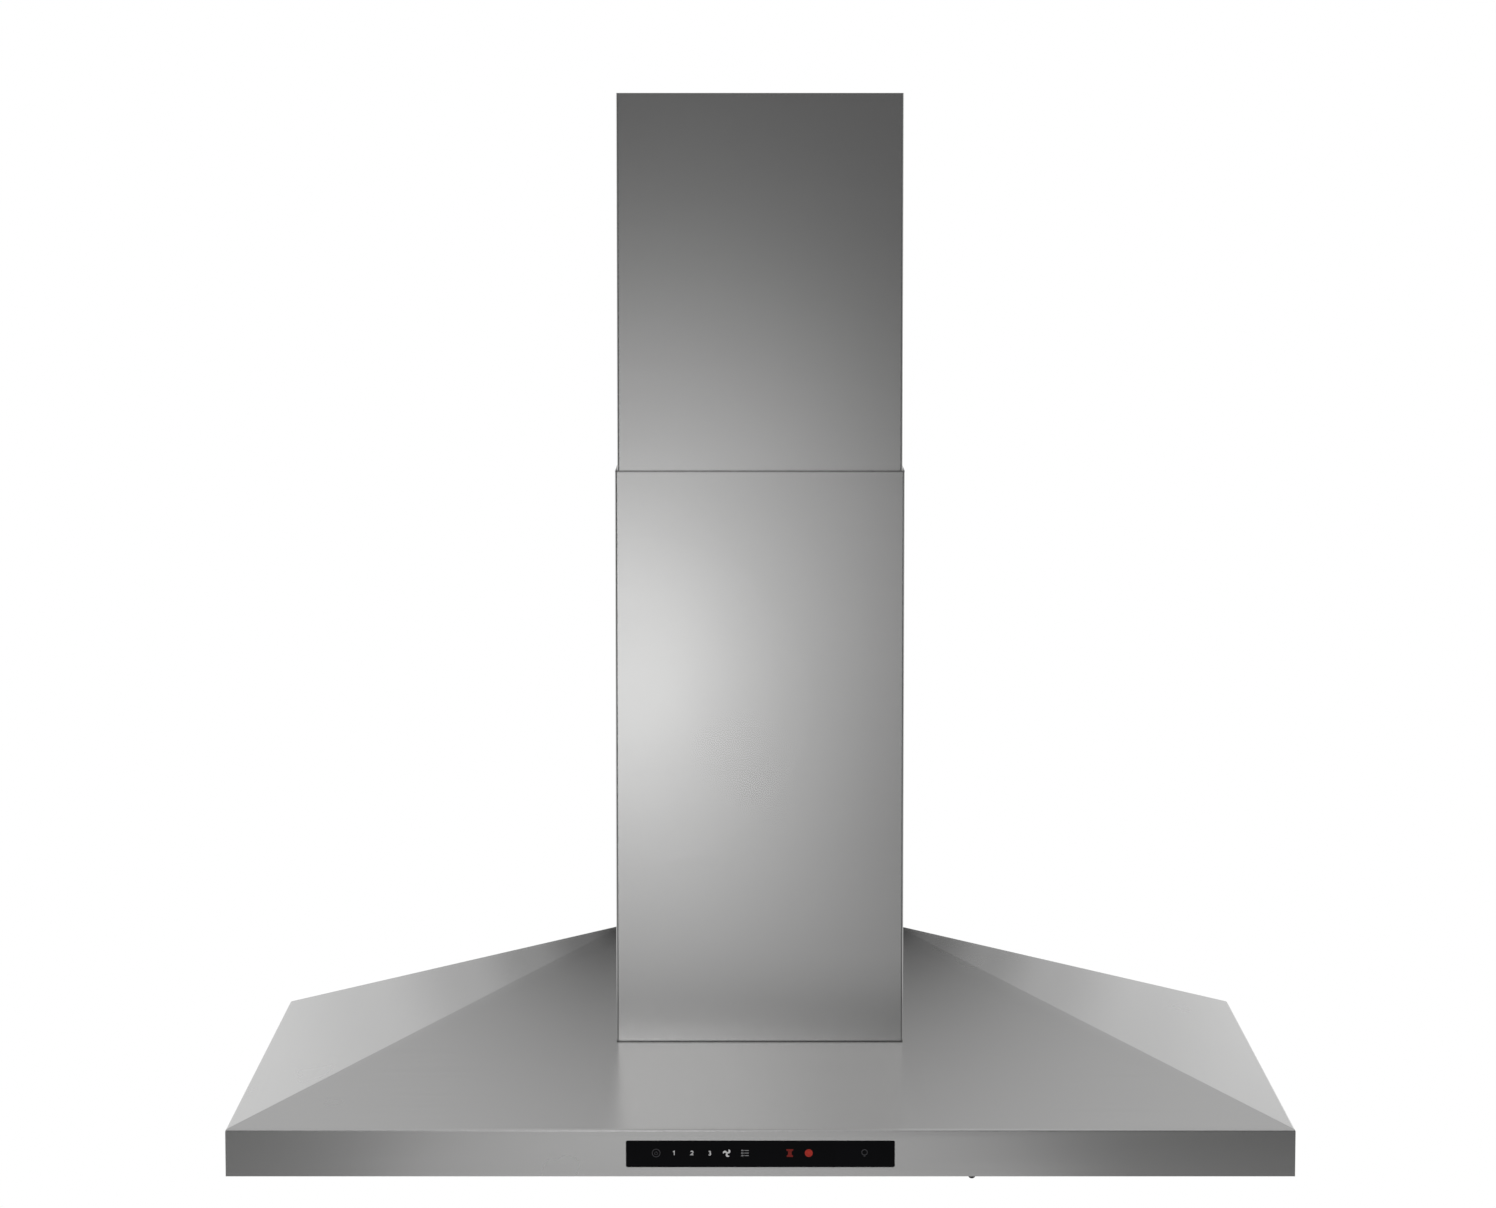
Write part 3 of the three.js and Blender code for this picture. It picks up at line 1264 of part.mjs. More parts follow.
// Half a disc below its hinge pin, cut back round the bridge's ears.
function damperFlap() {
  const radius = COLLAR_INSIDE - GAP * 4;
  const bottom = LEDGE_TOP + GAP;
  const start = FLAP_AXIS_OFFSET - FLAP_KNUCKLE_RADIUS;
  const disc = new THREE.Shape();
  const angle = Math.asin(start / radius);
  disc.absarc(0, 0, radius, angle, Math.PI - angle, false);
  const plate = prismXY(disc, bottom, bottom + FLAP_SHEET, 12);
  const clear = EAR_IN - 1;
  const earRoom = [
    box(clear, radius, 0, FLAP_AXIS_OFFSET + 4.5, bottom - OVER, bottom + OVER * 2),
    box(-radius, -clear, 0, FLAP_AXIS_OFFSET + 4.5, bottom - OVER, bottom + OVER * 2),
  ];
  const knuckle = solid(rod(FLAP_KNUCKLE_RADIUS, -clear, clear, 12));
  const pin = solid(rod(FLAP_PIN_RADIUS, -EAR_OUT + GAP, EAR_OUT - GAP, 12));
  const at = [0, FLAP_AXIS_OFFSET, FLAP_AXIS_Z];
  return joined(cut(plate, ...earRoom), knuckle.translate(at), pin.translate(at));
}

part("damper_flap_rear", damperFlap(), greyPlastic, outlet);
part("damper_flap_front", damperFlap(), greyPlastic, outlet).rotation.z = Math.PI;

// ---------------------------------------------------------------- electronics on the suction box
const CASE_HALF = CASE_WIDTH / 2;
const CASE_TOP = CASE_Z + CASE_HEIGHT;
const GLAND_Y = (CASE_FRONT_Y + CASE_REAR_Y) / 2;
const GLAND_Z = CASE_Z + CASE_HEIGHT / 2;
const CABLE_EXIT_Z = CASE_Z + 10;

function electronicsCase() {
  const w = CASE_WALL;
  const outside = box(-CASE_HALF, CASE_HALF, CASE_FRONT_Y, CASE_REAR_Y, CASE_Z, CASE_TOP);
  const inside = box(
    -CASE_HALF + w,
    CASE_HALF - w,
    CASE_FRONT_Y + w,
    CASE_REAR_Y - w,
    CASE_Z + w,
    CASE_TOP + OVER,
  );
  const glandHole = solid(
    rod(GLAND_RADIUS * 0.7 + GAP, CASE_HALF - w - OVER, CASE_HALF + OVER, 16),
  ).translate([0, GLAND_Y, GLAND_Z]);
  const cableHole = box(
    CABLE_X - CABLE_RADIUS - 1,
    CABLE_X + CABLE_RADIUS + 1,
    CASE_FRONT_Y - OVER,
    CASE_FRONT_Y + w + OVER,
    CABLE_EXIT_Z - CABLE_RADIUS - 1.5,
    CABLE_EXIT_Z + CABLE_RADIUS + 1,
  );
  return cut(outside, inside, glandHole, cableHole, leadHole(CASE_Z - OVER, CASE_Z + w + OVER));
}

part("electronics_case", electronicsCase(), whitePlastic);

function electronicsLid() {
  const w = CASE_WALL;
  const [z0, lap] = [CASE_TOP + GAP, 5];
  const top = box(-CASE_HALF, CASE_HALF, CASE_FRONT_Y, CASE_REAR_Y, z0, z0 + w);
  const inset = w + GAP;
  const skirt = frameOf(
    -CASE_HALF + inset,
    CASE_HALF - inset,
    CASE_FRONT_Y + inset,
    CASE_REAR_Y - inset,
    z0 - lap,
    z0 + w / 2,
    w,
  );
  return joined(top, skirt);
}

part("electronics_lid", electronicsLid(), whitePlastic);

const BOARD_X = CASE_HALF - CASE_WALL - BOARD_END_ROOM - BOARD_LENGTH;
const CASE_FLOOR = CASE_Z + CASE_WALL + GAP;

// A board on four legs, with a transformer and a row of relays.
function powerBoard() {
  const [x0, y0] = [BOARD_X, GLAND_Y - BOARD_WIDTH / 2];
  const [x1, y1] = [x0 + BOARD_LENGTH, y0 + BOARD_WIDTH];
  const plate = CASE_FLOOR + BOARD_LEG_HEIGHT;
  const top = plate + BOARD_THICKNESS;
  const block = (x, y, [width, length, height]) =>
    box(x, x + width, y, y + length, top - SINK, top + height);
  const pieces = [box(x0, x1, y0, y1, plate, top)];
  for (const x of [x0 + BOARD_LEG / 2, x1 - BOARD_LEG * 1.5]) {
    for (const y of [y0 + BOARD_LEG / 2, y1 - BOARD_LEG * 1.5]) {
      pieces.push(box(x, x + BOARD_LEG, y, y + BOARD_LEG, CASE_FLOOR, plate + SINK));
    }
  }
  const transformerX = x0 + 2 * BOARD_LEG;
  const relayX = transformerX + TRANSFORMER[0] + BOARD_LEG;
  pieces.push(block(transformerX, GLAND_Y - TRANSFORMER[1] / 2, TRANSFORMER));
  for (let i = 0; i < RELAY_COUNT; i++) {
    pieces.push(block(relayX + i * RELAY_PITCH, y0 + 2 * BOARD_LEG, RELAY));
  }
  return joined(...pieces);
}

part("power_board", powerBoard(), boardGreen);

// A block with an open well for each conductor.
function terminalBlock() {
  const x0 = BOARD_X - TERMINAL_ROOM - TERMINAL_WIDTH;
  const y1 = CASE_REAR_Y - CASE_WALL - TERMINAL_ROOM;
  const pitch = TERMINAL_LENGTH / TERMINAL_WELLS;
  const top = CASE_FLOOR + TERMINAL_HEIGHT;
  const inset = (TERMINAL_WIDTH - TERMINAL_WELL) / 2;
  let block = box(x0, x0 + TERMINAL_WIDTH, y1 - TERMINAL_LENGTH, y1, CASE_FLOOR, top);
  for (let i = 0; i < TERMINAL_WELLS; i++) {
    const y = y1 - (i + 0.5) * pitch;
    const [y0, y2] = [y - TERMINAL_WELL / 2, y + TERMINAL_WELL / 2];
    const floor = top - TERMINAL_WELL;
    block = block.subtract(box(x0 + inset, x0 + inset + TERMINAL_WELL, y0, y2, floor, top + OVER));
  }
  return block;
}

part("terminal_block", terminalBlock(), whitePlastic);

part(
  "capacitor",
  revolvedX(
    [
      [0, 0],
      [CAPACITOR_RADIUS - 1.5, 0],
      [CAPACITOR_RADIUS, 1.5],
      [CAPACITOR_RADIUS, CAPACITOR_LENGTH - 3],
      [CAPACITOR_RADIUS - 4, CAPACITOR_LENGTH],
      [0, CAPACITOR_LENGTH],
    ],
    20,
  ),
  blackPlastic,
  assembly(
    CAPACITOR_X,
    CASE_FRONT_Y + CASE_WALL + GAP + CAPACITOR_RADIUS,
    CASE_FLOOR + CAPACITOR_RADIUS,
  ),
);

// The inlet for the mains lead: a nut inside, a flange and a gripping nose outside.
part(
  "cable_gland",
  revolvedX(
    [
      [GLAND_BORE, -CASE_WALL - 6],
      [GLAND_RADIUS * 0.7, -CASE_WALL - 6],
      [GLAND_RADIUS * 0.7, GAP],
      [GLAND_RADIUS, GAP],
      [GLAND_RADIUS, 5],
      [GLAND_RADIUS * 0.8, 12],
      [GLAND_BORE, 12],
    ],
    16,
  ),
  blackPlastic,
  assembly(CASE_HALF, GLAND_Y, GLAND_Z),
);

// ---------------------------------------------------------------- inner leads
const CARRIER_BACK = CARRIER_FRONT + CARRIER_DEPTH;

part(
  "control_cable",
  cable(
    [
      [CABLE_X, CASE_FRONT_Y + CASE_WALL + 2, CABLE_EXIT_Z],
      [CABLE_X, CASE_FRONT_Y - 4, CABLE_EXIT_Z],
      [CABLE_X, CABLE_Y + 2, CABLE_EXIT_Z - 5],
      [CABLE_X, CABLE_Y, CABLE_EXIT_Z - 12],
      [CABLE_X, CABLE_Y, CABLE_EXIT_Z - 40],
      [CABLE_X, CABLE_Y, roofZ(CABLE_Y) + 40],
      [CABLE_X, CABLE_Y, roofZ(CABLE_Y) + 12],
      [CABLE_X, CABLE_Y, roofZ(CABLE_Y) - 3],
      [CABLE_X, CABLE_Y - 9, roofZ(CABLE_Y) - 12],
      [CABLE_X, -HOOD_DEPTH + 130, roofZ(-HOOD_DEPTH + 130) - 8],
      [CABLE_X, -HOOD_DEPTH + 60, roofZ(-HOOD_DEPTH + 60) - 9],
      [CABLE_X, CARRIER_BACK + 8, GLASS_Z + 6],
      [CABLE_X, CARRIER_BACK + GAP, GLASS_Z + 4],
    ],
    CABLE_RADIUS,
    32,
  ),
  cableGrey,
);

const LAMP_TOP = TRAY_Z + LAMP_HEIGHT + GAP;

for (const [name, side] of [["left", -1], ["right", 1]]) {
  const lampX = side * LAMP_X;
  part(
    "lamp_lead_" + name,
    cable(
      [
        [lampX, LAMP_Y, LAMP_TOP],
        [lampX, LAMP_Y, LAMP_TOP + 4],
        [lampX - side * 12, LAMP_Y - 3, LAMP_TOP + 7],
        [side * (CARRIER_HALF + 60), CARRIER_BACK + 16, TRAY_TOP + 12],
        [side * (CARRIER_HALF + 12), CARRIER_BACK - 7, GLASS_Z + 2],
        [side * (CARRIER_HALF + GAP), CARRIER_BACK - 7, GLASS_Z],
      ],
      LEAD_RADIUS,
      12,
    ),
    cableGrey,
  );
}

part(
  "motor_lead",
  cable(
    [
      [-SPIDER_IN, BLOWER_Y, BLOWER_Z],
      [-SPIDER_IN - SPIDER_SHEET - 3, BLOWER_Y, BLOWER_Z],
      [-SPIDER_IN - SPIDER_SHEET - 8, BLOWER_Y - 12, BLOWER_Z + 24],
      [LEAD_HOLE[0] - 6, LEAD_HOLE[1] + 10, BOX_TOP_Z - 40],
      [LEAD_HOLE[0], LEAD_HOLE[1], BOX_TOP_Z - 12],
      [LEAD_HOLE[0], LEAD_HOLE[1], CASE_FLOOR + 4],
    ],
    LEAD_RADIUS,
    14,
  ),
  cableGrey,
);

export default hood;
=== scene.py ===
# %% [markdown]
# # A chimney cooker hood in brushed steel
# The construction of the hood comes as a imported model: every sheet, screw and flap is there as a
# plain solid, in metres, with +Z up. The wall is the plane Y = 0 and the hood's front faces -Y.
# This lesson dresses that model: it gives each piece its finish and adds what is too fine for the solids,
# such as printed symbols, expanded metal and screw heads. We begin by loading the model.

# %% Load the imported model
import math
import random

import bmesh
import bpy
from mathutils import Matrix, Vector


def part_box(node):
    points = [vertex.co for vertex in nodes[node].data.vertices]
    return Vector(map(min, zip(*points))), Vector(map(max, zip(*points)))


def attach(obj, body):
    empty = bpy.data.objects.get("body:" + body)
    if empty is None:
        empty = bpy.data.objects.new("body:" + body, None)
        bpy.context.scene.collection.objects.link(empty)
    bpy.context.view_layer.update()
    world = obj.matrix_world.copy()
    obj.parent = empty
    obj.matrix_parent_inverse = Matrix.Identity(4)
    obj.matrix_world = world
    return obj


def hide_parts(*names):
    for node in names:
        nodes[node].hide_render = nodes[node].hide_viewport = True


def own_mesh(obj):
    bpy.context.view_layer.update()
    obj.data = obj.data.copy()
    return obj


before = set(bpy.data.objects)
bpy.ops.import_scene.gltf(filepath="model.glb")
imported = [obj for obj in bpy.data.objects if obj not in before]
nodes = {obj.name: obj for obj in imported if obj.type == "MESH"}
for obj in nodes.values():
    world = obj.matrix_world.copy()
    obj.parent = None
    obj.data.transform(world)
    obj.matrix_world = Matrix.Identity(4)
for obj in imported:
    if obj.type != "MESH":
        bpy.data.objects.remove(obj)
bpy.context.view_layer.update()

scene = bpy.context.scene
scene.view_settings.view_transform = "Standard"
MM = 0.001

# %% [markdown]
# ## The camera
# The photograph was taken straight on, from nearly four metres away with a long lens, so that
# upright edges stay upright. A camera just above the middle of the hood, tilted down a little, shows
# the roof of the canopy as the photograph does. A small vertical shift of the lens keeps the hood
# where it stands in the frame.

# %% Camera
CAMERA_PLACE = (-0.0104, -3.9288, 0.8284)
CAMERA_TILT = 5.657  # degrees below the horizon
CAMERA_LENS = 100.32
CAMERA_SHIFT = -0.06

camera_data = bpy.data.cameras.new("camera")
camera_data.sensor_width = 36
camera_data.lens = CAMERA_LENS
camera_data.shift_y = CAMERA_SHIFT
camera = bpy.data.objects.new("camera", camera_data)
camera.location = CAMERA_PLACE
camera.rotation_euler = (math.radians(90 - CAMERA_TILT), 0, 0)
scene.collection.objects.link(camera)
scene.camera = camera
print("camera", CAMERA_LENS, "mm lens,", CAMERA_TILT, "degrees down")

# %% [markdown]
# ## The studio
# Bare steel has hardly any colour of its own: what we see in it is the room. So the room matters
# more than any lamp. The world here is a studio drawn with nodes from the direction of each ray. The
# wall behind the hood is white. The side that the hood faces is dim at eye level and brighter towards
# the floor, with a wide soft box high above. Each part of it is a soft step or a curve over the
# direction, so nothing has an edge that a lamp would have.

# %% Helpers for node trees
def add_node(tree, kind, settings=None, **inputs):
    """A new shader node; inputs are given by socket name, as a value or as another node's output."""
    made = tree.nodes.new(kind)
    for name, value in (settings or {}).items():
        setattr(made, name, value)
    for name, value in inputs.items():
        label = name.replace("_", " ")
        socket = made.inputs[label if label in made.inputs else name]
        if isinstance(value, bpy.types.NodeSocket):
            tree.links.new(value, socket)
        else:
            socket.default_value = value
    return made


def math_node(tree, operation, first, second=None, third=None, clamp=False):
    """One arithmetic step; returns its output."""
    made = tree.nodes.new("ShaderNodeMath")
    made.operation = operation
    made.use_clamp = clamp
    for socket, value in zip(made.inputs, (first, second, third)):
        if isinstance(value, bpy.types.NodeSocket):
            tree.links.new(value, socket)
        elif value is not None:
            socket.default_value = value
    return made.outputs[0]


def ramp_node(tree, factor, stops, easing="EASE"):
    """A curve through (position, value) stops, where a value is a grey or a colour; its colour output."""
    made = tree.nodes.new("ShaderNodeValToRGB")
    made.color_ramp.interpolation = easing
    elements = made.color_ramp.elements
    elements[0].position = stops[0][0]
    elements[1].position = stops[-1][0]
    for position, _ in stops[1:-1]:
        elements.new(position)
    for element, (_, value) in zip(elements, stops):
        element.color = (value, value, value, 1) if isinstance(value, (int, float)) else (*value, 1)
    tree.links.new(factor, made.inputs[0])
    return made.outputs[0]


def blend_values(tree, factor, first, second):
    """first where factor is 0, second where it is 1."""
    made = tree.nodes.new("ShaderNodeMix")
    made.data_type = "FLOAT"
    for socket, value in zip((made.inputs[0], made.inputs[2], made.inputs[3]), (factor, first, second)):
        if isinstance(value, bpy.types.NodeSocket):
            tree.links.new(value, socket)
        else:
            socket.default_value = value
    return made.outputs[0]


def own_place(tree):
    """Where a point lies on its piece, in metres."""
    return add_node(tree, "ShaderNodeTexCoord").outputs["Object"]


print("helpers for node trees are ready")

# %% Brightness of the studio
def by_height(pairs):
    """Stops for a ramp from (height of the direction, -1 to 1; brightness) pairs."""
    return [((height + 1) / 2, value) for height, value in pairs]


FRONT_ROOM = by_height([
    (-1.0, 0.95), (-0.60, 0.88), (-0.42, 0.62), (-0.30, 0.31), (-0.20, 0.13), (-0.09, 0.12), (0.0, 0.105),
    (0.27, 0.105), (0.44, 0.80), (0.66, 0.80), (0.82, 0.60), (1.0, 0.50),
])
BACK_WALL = by_height([
    (-1.0, 0.8), (-0.5, 1.0), (0.08, 1.0), (0.18, 0.65), (0.50, 0.50), (0.8, 0.50), (1.0, 0.50),
])
# Shares of the front light from straight ahead to the side: two dark screens stand beside the camera.
FRONT_SCREENS = [(0.0, 1.0), (0.05, 0.92), (0.14, 0.38), (0.30, 0.34), (0.50, 0.75), (0.70, 1.0)]
SCREEN_TOP = 0.22  # the screens end at this height of the direction
SCREEN_EDGE = 8.0  # how sharply they end
WALL_EDGE = 3.0  # how sharply the front of the room gives way to the wall behind the hood
print("studio drawn with", len(FRONT_ROOM) + len(BACK_WALL) + len(FRONT_SCREENS), "stops")

# %% World
world = bpy.data.worlds.new("studio")
scene.world = world
world.use_nodes = True
studio = world.node_tree
studio.nodes.clear()
direction = add_node(studio, "ShaderNodeTexCoord").outputs["Generated"]
split = add_node(studio, "ShaderNodeSeparateXYZ", Vector=direction)
height_share = math_node(studio, "MULTIPLY_ADD", split.outputs["Z"], 0.5, 0.5)
behind = math_node(studio, "MULTIPLY_ADD", split.outputs["Y"], WALL_EDGE, 0.5, clamp=True)
open_front = ramp_node(studio, height_share, FRONT_ROOM)
back_light = ramp_node(studio, height_share, BACK_WALL)
sideways = math_node(studio, "ABSOLUTE", split.outputs["X"])
screens = ramp_node(studio, sideways, FRONT_SCREENS)
screens_from = -SCREEN_EDGE * SCREEN_TOP
over_screens = math_node(studio, "MULTIPLY_ADD", split.outputs["Z"], SCREEN_EDGE, screens_from, clamp=True)
screen_share = blend_values(studio, over_screens, screens, 1.0)
front_light = math_node(studio, "MULTIPLY", open_front, screen_share)
brightness = blend_values(studio, behind, front_light, back_light)
sky = add_node(studio, "ShaderNodeBackground", Color=brightness)
sky.inputs["Strength"].default_value = 1.0
add_node(studio, "ShaderNodeOutputWorld", Surface=sky.outputs[0])
print("world made with", len(studio.nodes), "nodes")

# %% [markdown]
# Four soft discs work with that room. The key lamp and its wider halo stand in front of the hood,
# left of the camera and below it. Their reflection is the round bright spot on the left of the
# chimney. A small low lamp does the same for the middle of the skirt. The roof right under the
# chimney mirrors the foot of the chimney, and that mirrors what is above the hood's front. A weak
# lamp up there, left of the middle, makes this strip lighter on its left than on its right. The floor
# is a pale disc where a kitchen floor would be, more than a metre and a half below the hood's rim. It
# throws light up under the canopy, and from below it is clear, so that the underside can be looked at.

# %% Lamps and floor
LAMP_SPREAD = 40.0  # degrees; a honeycomb on each lamp keeps its light off the roof
KEY_PLACE = (-0.19, -2.3, 0.065)
KEY_TARGET = (-0.13, -0.3, 0.29)
HALO_PLACE = (-0.16, -2.3, 0.15)
HALO_TARGET = (-0.10, -0.3, 0.30)
LOW_PLACE = (-0.04, -1.05, -0.37)
LOW_TARGET = (-0.04, -0.5, -0.06)
STRIP_PLACE = (-0.16, -0.9, 0.44)
STRIP_TARGET = (-0.16, -0.3, 0.1)
LAMPS = {  # place, target, diameter in metres, watts
    "key_lamp": (KEY_PLACE, KEY_TARGET, 0.26, 0.0265),
    "key_halo": (HALO_PLACE, HALO_TARGET, 0.80, 0.059),
    "strip_lamp": (STRIP_PLACE, STRIP_TARGET, 0.4, 0.0112),
    "low_lamp": (LOW_PLACE, LOW_TARGET, 0.70, 0.033),
}

for lamp_name, (lamp_place, lamp_target, lamp_size, lamp_watts) in LAMPS.items():
    data = bpy.data.lights.new(lamp_name, "AREA")
    data.shape = "DISK"
    data.size = lamp_size
    data.energy = lamp_watts
    data.spread = math.radians(LAMP_SPREAD)
    lamp = bpy.data.objects.new(lamp_name, data)
    lamp.location = lamp_place
    lamp.rotation_euler = (Vector(lamp_target) - Vector(lamp_place)).to_track_quat("-Z", "Y").to_euler()
    scene.collection.objects.link(lamp)

FLOOR_Z = -1.65
FLOOR_RADIUS = 3.0
FLOOR_GREY = 0.93
floor_mesh = bpy.data.meshes.new("kitchen_floor")
floor_builder = bmesh.new()
bmesh.ops.create_circle(floor_builder, cap_ends=True, segments=96, radius=FLOOR_RADIUS)
floor_builder.to_mesh(floor_mesh)
floor_builder.free()
floor = bpy.data.objects.new("kitchen_floor", floor_mesh)
floor.location = (0, 0, FLOOR_Z)
scene.collection.objects.link(floor)
floor_material = bpy.data.materials.new("pale_floor")
floor_material.use_nodes = True
floor_shader = floor_material.node_tree.nodes["Principled BSDF"]
floor_shader.inputs["Base Color"].default_value = (FLOOR_GREY, FLOOR_GREY, FLOOR_GREY, 1)
floor_shader.inputs["Roughness"].default_value = 0.6
floor_shader.inputs["Specular IOR Level"].default_value = 0.2
floor_tree = floor_material.node_tree
from_below = add_node(floor_tree, "ShaderNodeNewGeometry").outputs["Backfacing"]
see_through = add_node(floor_tree, "ShaderNodeBsdfTransparent")
one_sided = add_node(floor_tree, "ShaderNodeMixShader", Fac=from_below)
floor_tree.links.new(floor_shader.outputs[0], one_sided.inputs[1])
floor_tree.links.new(see_through.outputs[0], one_sided.inputs[2])
floor_tree.links.new(one_sided.outputs[0], floor_tree.nodes["Material Output"].inputs["Surface"])
floor_mesh.materials.append(floor_material)
print("floor at", FLOOR_Z, "m, lamps:", list(LAMPS))

# %% [markdown]
# In the photograph the roof grows darker towards the foot of the chimney. A photographer does that
# with a flag: a dark cloth beside the subject, out of the picture. Two of them stand here just behind
# the hood, left and right of the chimney. They are clear at the outside and nearly black where the
# roof meets the chimney. Like a lamp, a flag works through what the steel mirrors, so the camera
# itself doesn't see it.

# %% Flags beside the chimney
FLAG_Y = 0.02
FLAG_FOOT = Vector((0.128, 0.047))  # x and z of the inner lower corner
FLAG_WIDTH = 0.50
FLAG_HEIGHT = 0.55
FLAG_SLOPE = -0.233  # the lower edge follows the roof
SHADE_STOPS = [(0.0, 0.05), (0.10, 0.26), (0.22, 0.47), (0.36, 0.68), (0.56, 0.88), (0.85, 1.0)]
SHADE_REACH = 0.45  # metres from the corner to the end of the ramp


def flag_cloth():
    """Cloth that is nearly black at the foot of the chimney and clear further out."""
    material = bpy.data.materials.new("flag_cloth")
    material.use_nodes = True
    tree = material.node_tree
    tree.nodes.clear()
    place = add_node(tree, "ShaderNodeSeparateXYZ", Vector=own_place(tree))
    across = math_node(tree, "SUBTRACT", math_node(tree, "ABSOLUTE", place.outputs["X"]), FLAG_FOOT.x)
    up = math_node(tree, "SUBTRACT", place.outputs["Z"], FLAG_FOOT.y)
    up_square = math_node(tree, "MULTIPLY", up, up)
    square = math_node(tree, "MULTIPLY_ADD", across, across, up_square)
    distance = math_node(tree, "DIVIDE", math_node(tree, "SQRT", square), SHADE_REACH)
    cloth = add_node(tree, "ShaderNodeBsdfTransparent", Color=ramp_node(tree, distance, SHADE_STOPS))
    add_node(tree, "ShaderNodeOutputMaterial", Surface=cloth.outputs[0])
    return material


cloth_material = flag_cloth()
flag_outer = FLAG_FOOT.x + FLAG_WIDTH
flag_top = FLAG_FOOT.y + FLAG_HEIGHT
for side_name, side in (("left", -1), ("right", 1)):
    flag_mesh = bpy.data.meshes.new(f"flag_{side_name}")
    corners = [
        (side * FLAG_FOOT.x, FLAG_Y, FLAG_FOOT.y),
        (side * flag_outer, FLAG_Y, FLAG_FOOT.y + FLAG_SLOPE * FLAG_WIDTH),
        (side * flag_outer, FLAG_Y, flag_top),
        (side * FLAG_FOOT.x, FLAG_Y, flag_top),
    ]
    flag_mesh.from_pydata(corners, [], [(0, 1, 2, 3)])
    flag_mesh.materials.append(cloth_material)
    flag = bpy.data.objects.new(f"flag_{side_name}", flag_mesh)
    flag.visible_camera = False
    scene.collection.objects.link(flag)
print("two flags beside the chimney")

# %% [markdown]
# ## Finishes
# Every finish starts from Blender's Principled shader. What makes it look real is the variation
# that the process leaves behind: rolling and brushing leave lines, zinc freezes in crystals, moulds
# have a fine texture. The small helper below starts a material, and each finish then adds its own
# pattern in real sizes, measured from the hood's own coordinates in metres.

# %% A helper that starts a finish
def new_finish(name, color, metallic, roughness, **sockets):
    """A material with one Principled shader; returns the material, its tree and the shader."""
    material = bpy.data.materials.new(name)
    material.use_nodes = True
    tree = material.node_tree
    shader = tree.nodes["Principled BSDF"]
    shader.inputs["Base Color"].default_value = (*color, 1)
    shader.inputs["Metallic"].default_value = metallic
    shader.inputs["Roughness"].default_value = roughness
    for socket, value in sockets.items():
        shader.inputs[socket.replace("_", " ")].default_value = value
    return material, tree, shader


def spread(tree, factor, low, high):
    """Maps a pattern of 0 to 1 onto the range from low to high."""
    made = tree.nodes.new("ShaderNodeMapRange")
    tree.links.new(factor, made.inputs["Value"])
    made.inputs["To Min"].default_value = low
    made.inputs["To Max"].default_value = high
    return made.outputs["Result"]


def grey(tree, value, tint=(1.0, 1.0, 1.0)):
    """A colour from one brightness value, with a slight tint."""
    made = tree.nodes.new("ShaderNodeCombineColor")
    for socket, share in zip(made.inputs, tint):
        tree.links.new(math_node(tree, "MULTIPLY", value, share), socket)
    return made.outputs[0]


def noise(tree, vector, scale, detail=3.0, roughness=0.5):
    """Soft noise of 0 to 1; scale is in cycles per metre."""
    made = add_node(
        tree, "ShaderNodeTexNoise", Vector=vector, Scale=scale, Detail=detail, Roughness=roughness
    )
    return made.outputs["Fac"]


def add_bump(tree, shader, height, strength, distance):
    """Lets a pattern stand out of the surface by distance, in metres."""
    made = add_node(tree, "ShaderNodeBump", Height=height, Strength=strength, Distance=distance)
    tree.links.new(made.outputs[0], shader.inputs["Normal"])
    return made


print("helpers for finishes are ready")

# %% [markdown]
# ### Brushed steel
# The covers and the canopy are stainless steel, brushed along the width of the hood. The lines
# are less than half a millimetre apart and a few centimetres long. On an upright sheet they follow
# one another in height, on the front slope in depth, and on the side slopes across the hood. We take
# the direction from the surface's true normal, and stretch noise along it. A second, coarser noise
# makes the slight streaks that brushing leaves, and a third one the cloudy look of a wiped surface.
# The lower cover ends in two cut edges, on the roof and round the upper cover. Along each, a thin dark line
# is painted into the steel's colour: painted shade for the gap there.

# %% Direction of the brushing
def grain_axes(tree):
    """Two lengths in metres on any sheet, across the brushing and along it, and its direction."""
    place = add_node(tree, "ShaderNodeSeparateXYZ", Vector=own_place(tree))
    normal = add_node(tree, "ShaderNodeNewGeometry").outputs["True Normal"]
    normal = add_node(tree, "ShaderNodeSeparateXYZ", Vector=normal)
    size_x = math_node(tree, "ABSOLUTE", normal.outputs["X"])
    size_y = math_node(tree, "ABSOLUTE", normal.outputs["Y"])
    size_z = math_node(tree, "ABSOLUTE", normal.outputs["Z"])
    lying = math_node(tree, "GREATER_THAN", size_z, 0.6)
    sideways = math_node(tree, "GREATER_THAN", size_x, math_node(tree, "ADD", size_y, 0.05))
    x, y, z = place.outputs["X"], place.outputs["Y"], place.outputs["Z"]
    across = blend_values(tree, lying, z, blend_values(tree, sideways, y, x))
    along = blend_values(tree, sideways, x, y)
    direction = tree.nodes.new("ShaderNodeCombineXYZ")
    tree.links.new(math_node(tree, "SUBTRACT", 1.0, sideways), direction.inputs["X"])
    tree.links.new(sideways, direction.inputs["Y"])
    return across, along, direction.outputs[0]


def stretched(tree, across, along, lines, length, seed):
    """Noise drawn out along the grain."""
    made = tree.nodes.new("ShaderNodeCombineXYZ")
    tree.links.new(math_node(tree, "MULTIPLY", across, lines), made.inputs["X"])
    tree.links.new(math_node(tree, "MULTIPLY", along, length), made.inputs["Y"])
    made.inputs["Z"].default_value = seed
    return noise(tree, made.outputs[0], 1.0, detail=2.0)


print("helpers for brushed sheet are ready")

# %% Painted shade along the cut edges
EDGE_REACH = 0.0014  # metres from a cut edge within which the colour is painted darker, as shade
EDGE_SHADE = 0.5


